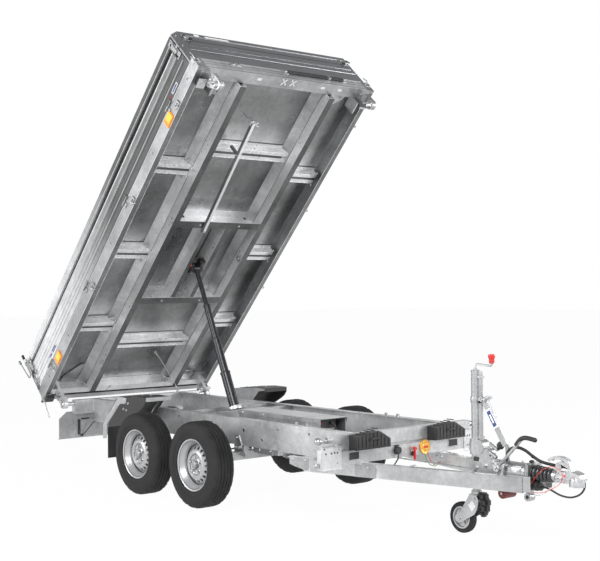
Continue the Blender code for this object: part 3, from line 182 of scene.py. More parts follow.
def drawn(name, colour, rough, metallic, stretch, streak=0.12, scale=20.0, along=None):
    """Rolled or drawn metal with fine streaks along one axis."""
    finish, tree, shader = shader_tree(name)
    streaks = noise(tree, place(tree, stretch), scale, 4.0, 0.6)
    tone = ramp(tree, streaks, [(0.3, tuple(c * (1 - streak) for c in colour)),
                                (0.7, tuple(min(1.0, c * (1 + streak)) for c in colour))])
    clouds = ramp(tree, noise(tree, place(tree), 3.0, 4.0), [(0.35, 0.86), (0.65, 1.0)])
    base = mix(tree, "MULTIPLY", 1.0, tone, clouds)
    # An optional tone from the rear end to the front: painted reflection.
    if along:
        base = graded(tree, base, along)
    tree.links.new(base, shader.inputs["Base Color"])
    tree.links.new(ramp(tree, streaks, [(0.2, rough * 0.8), (0.8, rough * 1.25)]),
                   shader.inputs["Roughness"])
    shader.inputs["Metallic"].default_value = metallic
    bump(tree, shader, streaks, 0.08, 0.001)
    return finish


def coated(name, colour, rough, fleck=0.25, scale=30.0, metallic=0.0, coat=0.0, depth=0.0006):
    """Paint or moulded plastic with a fine orange-peel skin and slight dust."""
    finish, tree, shader = shader_tree(name)
    where = place(tree)
    tone = noise(tree, where, 6.0, 5.0, 0.6)
    light = tuple(min(1.0, c * (1 + fleck) + 0.012) for c in colour)
    tree.links.new(ramp(tree, tone, [(0.3, colour), (0.75, light)]), shader.inputs["Base Color"])
    skin = noise(tree, where, scale, 3.0)
    tree.links.new(ramp(tree, tone, [(0.3, rough * 0.85), (0.75, min(1.0, rough * 1.2))]),
                   shader.inputs["Roughness"])
    shader.inputs["Metallic"].default_value = metallic
    shader.inputs["Coat Weight"].default_value = coat
    bump(tree, shader, skin, 0.25, depth)
    return finish


ZINC = zinc("zinc_frame", (0.27, 0.275, 0.28), (0.6, 0.61, 0.62), (0.3, 0.5), 0.86)
# Darkened galvanised sheet for the bed floor: a painted dark reflection.
ZINC_SHEET_DARK_REFLECTION = zinc("zinc_sheet_painted_dark_reflection", (0.12, 0.123, 0.127), (0.36, 0.365, 0.37), (0.24, 0.44), 0.92, 26.0, 1.1)
# Galvanised sheet for the bay overlays, graded in tone along its length: painted reflection.
BAY_REFLECTION_SHEET = zinc("zinc_bay_painted_reflection", (0.34, 0.345, 0.35), (0.95, 0.96, 0.97), (0.24, 0.42), 0.86, 26.0, 1.1,
                 [(0.0, 1.0), (0.1, 0.8), (0.32, 0.42), (0.7, 0.3), (0.97, 0.4)])
ZINC_HAT = zinc("zinc_hat", (0.58, 0.585, 0.59), (0.92, 0.93, 0.94), (0.26, 0.42), 0.55, 60.0, 2.0)
ZINC_CHASSIS = zinc("zinc_chassis", (0.4, 0.405, 0.41), (0.8, 0.81, 0.82), (0.3, 0.5), 0.72)
# Darkened zinc for shaded faces, folds and the prop rod: painted shade.
ZINC_SHADE = zinc("zinc_painted_shade", (0.07, 0.071, 0.072), (0.2, 0.203, 0.206), (0.34, 0.52), 0.86)
# Darker zinc for the beams' sloped faces: painted shade.
BEAM_SLOPE_SHADE = zinc("zinc_beam_slope_painted_shade", (0.2, 0.204, 0.208), (0.62, 0.63, 0.64), (0.26, 0.44), 0.86, 30.0, 1.4)
# Near-white zinc for lit fold edges and hat ridges: painted highlights.
ZINC_HIGHLIGHT = zinc("zinc_painted_highlight", (0.86, 0.87, 0.88), (0.98, 0.98, 0.99), (0.24, 0.34), 0.5)
# Darker zinc under the bed rim: painted shade.
RIM_UNDER_SHADE = zinc("zinc_rim_under_painted_shade", (0.12, 0.122, 0.124), (0.34, 0.345, 0.35), (0.34, 0.52), 0.86)
ZINC_BRIGHT = zinc("zinc_bright", (0.4, 0.405, 0.41), (0.72, 0.73, 0.74), (0.26, 0.42), 0.86, 60.0, 3.0)
ZINC_BEAM = zinc("zinc_beam", (0.3, 0.305, 0.31), (0.66, 0.67, 0.68), (0.26, 0.44), 0.88, 46.0, 1.6)
WELD = zinc("zinc_weld", (0.7, 0.71, 0.72), (0.9, 0.9, 0.91), (0.3, 0.5), 0.55, 160.0, 8.0)
ALUMINIUM = drawn("aluminium_rolled", (0.44, 0.45, 0.465), 0.34, 0.9, (0.6, 9.0, 0.6))
# Tone along the side walls, lighter at the rear and darker towards the front: a painted reflection.
REFLECTION_FADE = [(0.15, 1.0), (0.38, 0.62)]
# The wall's sheet, middle band and beads are one aluminium in darker and lighter tones for how light falls
# on each face, with the fade: painted reflection and painted highlights.
WALL_SHEET_REFLECTION = drawn("wall_sheet_painted_reflection", (0.8, 0.81, 0.82), 0.32, 0.62, (0.6, 9.0, 0.6), along=REFLECTION_FADE + [(0.58, 0.14)])
WALL_MIDDLE_REFLECTION = drawn("wall_middle_painted_reflection", (0.8, 0.81, 0.82), 0.32, 0.62, (0.6, 9.0, 0.6),
                    along=REFLECTION_FADE + [(0.58, 0.27)])
WALL_BEAD_HIGHLIGHT = drawn("wall_bead_painted_highlight", (0.84, 0.85, 0.86), 0.32, 0.62, (0.6, 9.0, 0.6), along=REFLECTION_FADE + [(0.58, 0.46)])
# Bright aluminium strips for the lit edges: painted highlights.
WALL_HIGHLIGHT = drawn("wall_painted_highlight", (0.72, 0.725, 0.735), 0.3, 0.8, (0.6, 9.0, 0.6), 0.06)
ALUMINIUM_CROSS = drawn("aluminium_rolled_across", (0.33, 0.335, 0.35), 0.34, 0.9, (9.0, 0.5, 9.0))
SILVER = coated("silver_paint_wheel", (0.42, 0.425, 0.435), 0.36, 0.1, 120.0, 0.6, 0.15)
# Dark steel for the ram stages and lever grips, also used as painted shade in the wall and headboard
# grooves.
DARK_STEEL_AND_SHADE = drawn("dark_steel", (0.04, 0.041, 0.045), 0.28, 0.7, (4.0, 4.0, 0.4))
BLACK = coated("black_paint_satin", (0.012, 0.012, 0.013), 0.36, 0.3, 60.0)
PLASTIC = coated("black_plastic_grained", (0.014, 0.014, 0.015), 0.5, 0.5, 160.0)
RUBBER = coated("rubber_black", (0.017, 0.017, 0.018), 0.55, 0.7, 90.0)
GLOSS_RUBBER = coated("rubber_bellows", (0.018, 0.018, 0.019), 0.24, 0.4, 90.0, 0.0, 0.5)
# Near-black for the rims' valleys: painted shade.
RIM_VALLEY_SHADE = coated("groove_painted_shade", (0.016, 0.016, 0.017), 0.6, 0.5, 90.0)
TYRE_RUBBER = coated("rubber_tyre", (0.011, 0.011, 0.0115), 0.72, 0.7, 70.0)
TYRE_RUBBER.node_tree.nodes["Principled BSDF"].inputs["Specular IOR Level"].default_value = 0.28
RED = coated("red_plastic", (0.55, 0.015, 0.012), 0.28, 0.12, 140.0, 0.0, 0.3)
RED_LENS = coated("lamp_lens_red", (0.5, 0.008, 0.008), 0.15, 0.1, 200.0, 0.0, 0.6)
ORANGE_LENS = coated("lamp_lens_orange", (0.88, 0.26, 0.01), 0.15, 0.1, 200.0, 0.0, 0.6)
AMBER_LENS = coated("lamp_lens_amber", (0.92, 0.5, 0.03), 0.15, 0.1, 200.0, 0.0, 0.6)
WHITE_LENS = coated("lamp_lens_white", (0.78, 0.79, 0.8), 0.12, 0.05, 200.0, 0.0, 0.6)
MAROON = coated("maroon_paint", (0.13, 0.012, 0.014), 0.4)
BLUE = coated("blue_label", (0.025, 0.055, 0.19), 0.3, 0.1, 200.0, 0.0, 0.3)
GREEN = coated("green_cap", (0.03, 0.25, 0.08), 0.35, 0.1, 200.0)
YELLOW = coated("yellow_zinc", (0.8, 0.42, 0.07), 0.35, 0.25, 90.0, 0.6)


# Mesh tools

def shown(mesh, name, finish, body, matrix=None, smooth=30, bevel=0.0):
    """Puts a finished mesh in the scene, rounded along its edges, riding on a body."""
    if matrix is not None:
        mesh.transform(matrix)
    obj = bpy.data.objects.new(name, mesh)
    bpy.context.scene.collection.objects.link(obj)
    mesh.materials.clear()
    mesh.materials.append(finish)
    if bevel:
        rounding = obj.modifiers.new("rounding", "BEVEL")
        rounding.width = bevel
        rounding.segments = 2
        rounding.limit_method = "ANGLE"
        rounding.angle_limit = math.radians(32)
    mesh.shade_smooth()
    mesh.set_sharp_from_angle(angle=math.radians(smooth))
    if body is not None:
        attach(obj, body)
    return obj


class Kit:
    """Many small shapes gathered into one mesh, in drawing or bed coordinates."""

    def __init__(self, matrix=HERE):
        self.bm = bmesh.new()
        self.base = matrix

    def _grow(self, made, matrix):
        bmesh.ops.transform(self.bm, matrix=self.base @ matrix, verts=made)

    def block(self, x, y, z, bevel=0.0, turn=None):
        middle = Vector([(s[0] + s[1]) / 2 for s in (x, y, z)])
        size = [abs(s[1] - s[0]) for s in (x, y, z)]
        made = bmesh.ops.create_cube(self.bm, size=1.0)["verts"]
        bmesh.ops.scale(self.bm, vec=size, verts=made)
        if bevel:
            edges = list({e for v in made for e in v.link_edges})
            made = bmesh.ops.bevel(self.bm, geom=edges, offset=bevel, segments=2, affect="EDGES",
                                   clamp_overlap=True)["verts"]
            made = list(self._island(made))
        matrix = Matrix.Translation(middle)
        if turn is not None:
            matrix = matrix @ turn
        self._grow(made, matrix)

    def _island(self, seeds):
        """All vertices joined to the seeds."""
        found, stack = set(), list(seeds)
        while stack:
            vertex = stack.pop()
            if vertex not in found:
                found.add(vertex)
                stack += [e.other_vert(vertex) for e in vertex.link_edges]
        return found

    def rod(self, start, end, radius, sides=16, end_radius=None):
        start, end = Vector(start), Vector(end)
        run = end - start
        turn = run.to_track_quat("Z", "X").to_matrix().to_4x4()
        made = bmesh.ops.create_cone(self.bm, cap_ends=True, segments=sides, radius1=radius,
                                     radius2=radius if end_radius is None else end_radius,
                                     depth=run.length)["verts"]
        self._grow(made, Matrix.Translation((start + end) / 2) @ turn)

    def ball(self, centre, radius, sides=16):
        made = bmesh.ops.create_uvsphere(self.bm, u_segments=sides, v_segments=sides // 2 + 2,
                                         radius=radius)["verts"]
        self._grow(made, Matrix.Translation(centre))

    def bolt(self, where, normal, size=0.01, head=0.6):
        """A washer and a hexagon head that stands out along its normal."""
        where, normal = Vector(where), Vector(normal).normalized()
        self.rod(where - normal * 0.001, where + normal * size * 0.18, size * 1.05, 16)
        self.rod(where, where + normal * size * (0.18 + head), size * 0.85, 6)
        self.rod(where, where + normal * size * (0.4 + head), size * 0.42, 10)

    def prism(self, outline, low, high, matrix=Matrix.Identity(4)):
        """A flat outline in the matrix's XY plane, raised from low to high."""
        bottom = [self.bm.verts.new((x, y, low)) for x, y in outline]
        top = [self.bm.verts.new((x, y, high)) for x, y in outline]
        area = sum(a[0] * b[1] - b[0] * a[1] for a, b in zip(outline, outline[1:] + outline[:1]))
        if area < 0:
            bottom.reverse()
            top.reverse()
        self.bm.faces.new(list(reversed(bottom)))
        self.bm.faces.new(top)
        count = len(outline)
        for i in range(count):
            k = (i + 1) % count
            self.bm.faces.new((bottom[i], bottom[k], top[k], top[i]))
        self._grow(bottom + top, matrix)

    def along_y(self, outline, y):
        """An (x, z) outline between two y values."""
        turn = Matrix(((1, 0, 0, 0), (0, 0, -1, 0), (0, 1, 0, 0), (0, 0, 0, 1)))
        self.prism(outline, -max(y), -min(y), turn)

    def along_x(self, outline, x):
        """A (y, z) outline between two x values."""
        turn = Matrix(((0, 0, 1, 0), (1, 0, 0, 0), (0, 1, 0, 0), (0, 0, 0, 1)))
        self.prism(outline, min(x), max(x), turn)

    def lathe(self, profile, steps, matrix=Matrix.Identity(4)):
        """A (radius, height) profile turned about the matrix's Z axis; closed where it meets the axis."""
        rings = []
        for radius, height in profile:
            if radius < 1e-6:
                rings.append([self.bm.verts.new((0, 0, height))])
            else:
                rings.append([self.bm.verts.new((radius * math.cos(2 * math.pi * k / steps),
                                                 radius * math.sin(2 * math.pi * k / steps), height))
                              for k in range(steps)])
        for first, second in zip(rings, rings[1:]):
            for k in range(steps):
                n = (k + 1) % steps
                corners = [first[k % len(first)], first[n % len(first)], second[n % len(second)],
                           second[k % len(second)]]
                corners = list(dict.fromkeys(corners))
                if len(corners) > 2:
                    self.bm.faces.new(corners)
        self._grow([v for ring in rings for v in ring], matrix)

    def tube(self, points, radius, sides=10):
        """A round wire along points, with flat ends."""
        points = [Vector(p) for p in points]
        rings = []
        lift = None
        for i, point in enumerate(points):
            ahead = points[min(i + 1, len(points) - 1)] - points[max(i - 1, 0)]
            ahead.normalize()
            if lift is None:
                lift = ahead.orthogonal().normalized()
            lift = (lift - ahead * lift.dot(ahead)).normalized()
            across = ahead.cross(lift)
            rings.append([self.bm.verts.new(point + (lift * math.cos(a) + across * math.sin(a)) * radius)
                          for a in (2 * math.pi * k / sides for k in range(sides))])
        for first, second in zip(rings, rings[1:]):
            for k in range(sides):
                n = (k + 1) % sides
                self.bm.faces.new((first[k], first[n], second[n], second[k]))
        self.bm.faces.new(list(reversed(rings[0])))
        self.bm.faces.new(rings[-1])
        self._grow([v for ring in rings for v in ring], Matrix.Identity(4))

    def ring(self, centre, normal, radius, wire, steps=24, sides=8):
        """A round ring or shackle about a centre."""
        turn = Vector(normal).to_track_quat("Z", "X").to_matrix().to_4x4()
        profile = [(radius + wire * math.cos(2 * math.pi * k / sides),
                    wire * math.sin(2 * math.pi * k / sides))
                   for k in range(sides + 1)]
        self.lathe(profile, steps, Matrix.Translation(centre) @ turn)

    def show(self, name, finish, body, bevel=0.0, smooth=30, slot=None):
        bmesh.ops.remove_doubles(self.bm, verts=self.bm.verts, dist=0.000005)
        bmesh.ops.recalc_face_normals(self.bm, faces=self.bm.faces)
        mesh = bpy.data.meshes.new(name)
        self.bm.to_mesh(mesh)
        self.bm.free()
        return shown(mesh, name, finish, body, None, smooth, bevel)


def upright(side=1, out=0.0):
    """Puts an (x, z) outline on a plane at y = out, raised towards one side."""
    return Matrix(((1, 0, 0, 0), (0, 0, side, side * out), (0, 1, 0, 0), (0, 0, 0, 1)))


def facing_front(x, y, z):
    """Turns a lathe's axis forwards at a point."""
    return Matrix.Translation((x, y, z)) @ Matrix.Rotation(math.pi / 2, 4, "Y")


def on_circle(radius, angle, height):
    return Vector((radius * math.cos(angle), radius * math.sin(angle), height))


def mirrored(half, middle=()):
    """A closed lathe profile that is the same above and below height 0."""
    return half + list(middle) + [(radius, -height) for radius, height in reversed(half)] + half[:1]


def smooth_route(points, spacing):
    """Evenly spaced points on a smooth curve through a route's own points."""
    points = [Vector(p) for p in points]
    padded = [2 * points[0] - points[1]] + points + [2 * points[-1] - points[-2]]
    fine = []
    for before, start, end, after in zip(padded, padded[1:], padded[2:], padded[3:]):
        for step in range(20):
            t = step / 20
            fine.append(0.5 * (2 * start + (end - before) * t
                               + (2 * before - 5 * start + 4 * end - after) * t * t
                               + (3 * start - before - 3 * end + after) * t ** 3))
    fine.append(points[-1])
    lengths = [0.0]
    for first, second in zip(fine, fine[1:]):
        lengths.append(lengths[-1] + (second - first).length)
    count = max(2, round(lengths[-1] / spacing))
    route, k = [], 0
    for i in range(count + 1):
        target = lengths[-1] * i / count
        while k < len(fine) - 2 and lengths[k + 1] < target:
            k += 1
        share = (target - lengths[k]) / (lengths[k + 1] - lengths[k])
        route.append(fine[k].lerp(fine[k + 1], min(1.0, share)))
    return route


def refined(node, finish, bevel):
    """The CAD node's own form with its edges rounded and a real finish."""
    mesh = NODES[node].data.copy()
    obj = shown(mesh, node + "_dressed", finish, BODY_OF[node], bevel=bevel)
    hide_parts(node)


BODY_OF = {node: body for body, nodes in frame["record"]["behaviour"]["bodies"].items() for node in nodes}


# Frame nodes that keep their form

for finish, bevel, nodes in (
        (ZINC_CHASSIS, 0.0018, "chassis_beam_left chassis_beam_right front_crossmember rear_crossmember"),
        (ZINC, 0.0018, "ram_crossmember axle_front axle_rear"),
        (ZINC_CHASSIS, 0.0018, "drawbar"),
        (ZINC, 0.0018, "pump_tray"),
        (ZINC_BRIGHT, 0.0018, "pump_box"),
        (ZINC, 0.0018, "light_bar bed_rim"),
        (ZINC_HAT, 0.0018,
         "bed_beam_left bed_beam_right bed_ram_frame bed_hat_rear bed_hat_front bed_end_bar_rear"),
        (ZINC, 0.0018, "bed_end_bar_front"),
        # The bed floor is darkened to stand in for the dark reflection on its underside: painted reflection.
        (ZINC_SHEET_DARK_REFLECTION, 0.0018, "bed_floor"),
        # The prop rod is darkened to stand in for the shadow beside the stay: painted shade.
        (ZINC_SHADE, 0.0018, "safety_prop"),
        (BLACK, 0.0018, "ram_head_bracket ram_base"),
        (PLASTIC, 0.0018, "battery wheel_chock_left wheel_chock_right"),
        (ZINC_BRIGHT, 0.0018,
         "overrun_housing parking_brake_lever jockey_post jockey_leg jockey_fork coupling_head"),
        (DARK_STEEL_AND_SHADE, 0.001, "ram_stage_1 ram_stage_2 ram_stage_3 ram_stage_4"),
        (ALUMINIUM_CROSS, 0.0012, "headboard tailgate"),
        # The side walls carry the painted reflection fade, lighter towards the rear.
        (WALL_SHEET_REFLECTION, 0.0012, "side_wall_left side_wall_right"),
        (PLASTIC, 0.0012, "cable_plug rear_lamp_left rear_lamp_right")):
    for node in nodes.split():
        refined(node, finish, bevel)


# Wheels and tyres

AXLE_SPACING = 0.785
BEAM_FACE = 0.485
WHEEL_Y = 0.777
AXLE_Z = JOINTS["wheel_front_left_spin"]["pos_m"][2]


def tyre_mesh():
    """Tread with grooves and notched shoulders, ringed sidewalls and beads, about Z."""
    tread = []
    half, r = 0.0925, AXLE_Z - 0.0002
    grooves = ((0.0135, 0.0058), (0.0405, 0.0058))
    for edge in (-1, 1):
        side = []
        for middle, wide in grooves:
            side += [(middle - wide / 2 - 0.0008, r), (middle - wide / 2, r - 0.007),
                     (middle + wide / 2, r - 0.007),
                     (middle + wide / 2 + 0.0008, r)]
        side += [(0.058, r - 0.0008), (0.066, r - 0.0022), (0.074, r - 0.007), (0.08, r - 0.016),
                 (0.0838, 0.298), (0.085, 0.297), (0.085, 0.294), (0.0885, 0.284), (0.0915, 0.266),
                 (half, 0.25),
                 (0.0918, 0.235), (0.093, 0.234), (0.0928, 0.23), (0.0895, 0.2275), (0.0872, 0.212),
                 (0.085, 0.204),
                 (0.085, 0.2005), (0.0812, 0.2003), (0.0745, 0.1965), (0.0738, 0.1905), (0.0738, 0.1815)]
        side = [(edge * h, radius) for h, radius in side]
        tread = list(reversed(side)) + tread if edge < 0 else tread + side
    inside = [(0.06, 0.1812), (0.078, 0.236), (0.07, 0.3), (0.0, 0.306), (-0.07, 0.3), (-0.078, 0.236),
              (-0.06, 0.1812)]
    profile = [(radius, h) for h, radius in tread + inside]
    steps = 120
    bm = bmesh.new()
    rings = []
    for radius, height in profile:
        ring = []
        for k in range(steps):
            reach = radius
            if radius > r - 0.0072 and k % 5 == 0 and (0.046 < abs(height) < 0.08):
                reach = radius - 0.006
            if radius > r - 0.0025 and k % 5 == 2 and 0.016 < abs(height) < 0.038:
                reach = radius - 0.004
            a = 2 * math.pi * (k + 0.5) / steps
            ring.append(bm.verts.new((reach * math.cos(a), reach * math.sin(a), height)))
        rings.append(ring)
    for first, second in zip(rings, rings[1:] + rings[:1]):
        for k in range(steps):
            n = (k + 1) % steps
            bm.faces.new((first[k], first[n], second[n], second[k]))
    bmesh.ops.recalc_face_normals(bm, faces=bm.faces)
    mesh = bpy.data.meshes.new("tyre")
    bm.to_mesh(mesh)
    bm.free()
    return mesh


def drilled(mesh, holes, name):
    """The mesh with round holes along Z: (x, y, radius, low, high) each."""
    work = bpy.data.objects.new("work", mesh)
    bpy.context.scene.collection.objects.link(work)
    kit = Kit(Matrix.Identity(4))
    for x, y, radius, low, high in holes:
        kit.rod((x, y, low), (x, y, high), radius, 20)
    cutter_mesh = bpy.data.meshes.new("cutter")
    kit.bm.to_mesh(cutter_mesh)
    kit.bm.free()
    cutter = bpy.data.objects.new("cutter", cutter_mesh)
    bpy.context.scene.collection.objects.link(cutter)
    step = work.modifiers.new("drill", "BOOLEAN")
    step.operation = "DIFFERENCE"
    step.solver = "EXACT"
    step.object = cutter
    bpy.context.view_layer.update()
    result = bpy.data.meshes.new_from_object(work.evaluated_get(bpy.context.evaluated_depsgraph_get()))
    result.name = name
    bpy.data.objects.remove(work)
    bpy.data.objects.remove(cutter)
    return result


def wheel_mesh():
    """Pressed steel rim and disc, holed all round, about Z with +Z outwards."""
    kit = Kit(Matrix.Identity(4))
    front = [(0.0395, 0.0445), (0.042, 0.0425), (0.05, 0.04), (0.066, 0.04), (0.074, 0.043), (0.08, 0.05),
             (0.088, 0.056), (0.098, 0.055), (0.106, 0.05), (0.122, 0.037), (0.138, 0.024), (0.1455, 0.0155),
             (0.15, 0.0145), (0.152, 0.02), (0.1545, 0.033), (0.159, 0.044), (0.168, 0.052), (0.174, 0.064),
             (0.1765, 0.07), (0.18, 0.0735), (0.186, 0.0745), (0.1905, 0.0765), (0.1935, 0.079),
             (0.1948, 0.078), (0.1948, 0.0755), (0.192, 0.0745), (0.1815, 0.0738), (0.179, 0.07)]
    back = [(0.179, 0.052), (0.165, 0.042), (0.1645, -0.042), (0.179, -0.052), (0.179, -0.072),
            (0.192, -0.0745), (0.1948, -0.077), (0.193, -0.0795), (0.186, -0.075), (0.176, -0.07),
            (0.172, -0.052), (0.16, -0.042), (0.159, 0.002), (0.144, 0.008), (0.133, 0.02),
            (0.106, 0.043), (0.088, 0.05), (0.078, 0.043), (0.072, 0.036), (0.04, 0.035)]
    kit.lathe(front + back + front[:1], 96)
    bmesh.ops.remove_doubles(kit.bm, verts=kit.bm.verts, dist=0.00001)
    bmesh.ops.recalc_face_normals(kit.bm, faces=kit.bm.faces)
    mesh = bpy.data.meshes.new("wheel")
    kit.bm.to_mesh(mesh)
    kit.bm.free()
    places = [on_circle(0.1225, 2 * math.pi * k / 18, 0) for k in range(18)]
    return drilled(mesh, [(at.x, at.y, 0.0112, -0.01, 0.075) for at in places], "wheel_disc")


TYRE_MESH = tyre_mesh()
WHEEL_MESH = wheel_mesh()
for name, x, side in (("wheel_front_left", 1, 1), ("wheel_front_right", 1, -1),
                      ("wheel_rear_left", -1, 1), ("wheel_rear_right", -1, -1)):
    centre = Matrix.Translation((x * AXLE_SPACING / 2 + SHIFT_X, side * WHEEL_Y, AXLE_Z))
    turn = centre @ Matrix.Rotation(-side * math.pi / 2, 4, "X")
    obj = shown(TYRE_MESH.copy(), name + "_tyre_tread", TYRE_RUBBER, name, turn, 40)
    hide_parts(name + "_tyre")
    obj = shown(WHEEL_MESH.copy(), name + "_disc", SILVER, name, turn, 32)
    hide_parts(name)
    kit = Kit(turn)
    kit.lathe([(0.0, 0.068), (0.02, 0.068), (0.0265, 0.0655), (0.029, 0.06), (0.03, 0.044), (0.0385, 0.043),
               (0.0385, 0.03), (0.0, 0.03)], 40)
    kit.lathe([(0.0, 0.01), (0.112, 0.01), (0.115, 0.006), (0.115, -0.06), (0.1, -0.062), (0.03, -0.062),
               (0.0, -0.062)], 48)
    kit.show(name + "_hub", ZINC, name, slot="silver_paint")
    # Dark rings in the valleys of the rim and disc: painted shade.
    kit = Kit(turn)
    kit.lathe([(0.102, 0.038), (0.143, 0.002), (0.143, -0.001), (0.102, 0.035), (0.102, 0.038)], 60)
    kit.lathe([(0.149, 0.015), (0.1506, 0.0151), (0.1526, 0.0205), (0.1541, 0.0265), (0.1535, 0.0268),
               (0.152, 0.0208), (0.149, 0.0147), (0.149, 0.015)], 72)
    kit.lathe([(0.1776, 0.0706), (0.1798, 0.0738), (0.1818, 0.0747), (0.1816, 0.0742), (0.1799, 0.0732),
               (0.1779, 0.0702), (0.1776, 0.0706)], 72)
    kit.lathe([(0.074, 0.0436), (0.0766, 0.0467), (0.077, 0.0462), (0.0745, 0.043), (0.074, 0.0436)], 60)
    kit.show(name + "_shade_rings", RIM_VALLEY_SHADE, name, slot="silver_paint")
    kit = Kit(turn)
    for k in range(5):
        where = on_circle(0.056, 2 * math.pi * k / 5 + 0.31, 0.04)
        kit.rod(where, where + Vector((0, 0, 0.004)), 0.0125, 20, 0.0105)
        kit.rod(where, where + Vector((0, 0, 0.018)), 0.01, 6)
        kit.ball(where + Vector((0, 0, 0.0165)), 0.0078, 12)
    valve = Vector((0.15, 0.0, 0.03))
    kit.tube([valve, valve + Vector((-0.006, 0, 0.02)), valve + Vector((-0.01, 0, 0.036))], 0.0035, 8)
    kit.show(name + "_bolts", ZINC_BRIGHT, name, slot="silver_paint")


# Bed: rail, hinges, latches and lamps

STATIONS = (0.35, 1.28, 2.21, 3.14)


def oval(u, w, across, tall, sides=20):
    turns = [2 * math.pi * k / sides for k in range(sides)]
    return [(u + across * math.cos(a), w + tall * math.sin(a)) for a in turns]


def sided(side, near, far):
    """A span that reaches outwards from the middle on one side."""
    return tuple(sorted((side * near, side * far)))


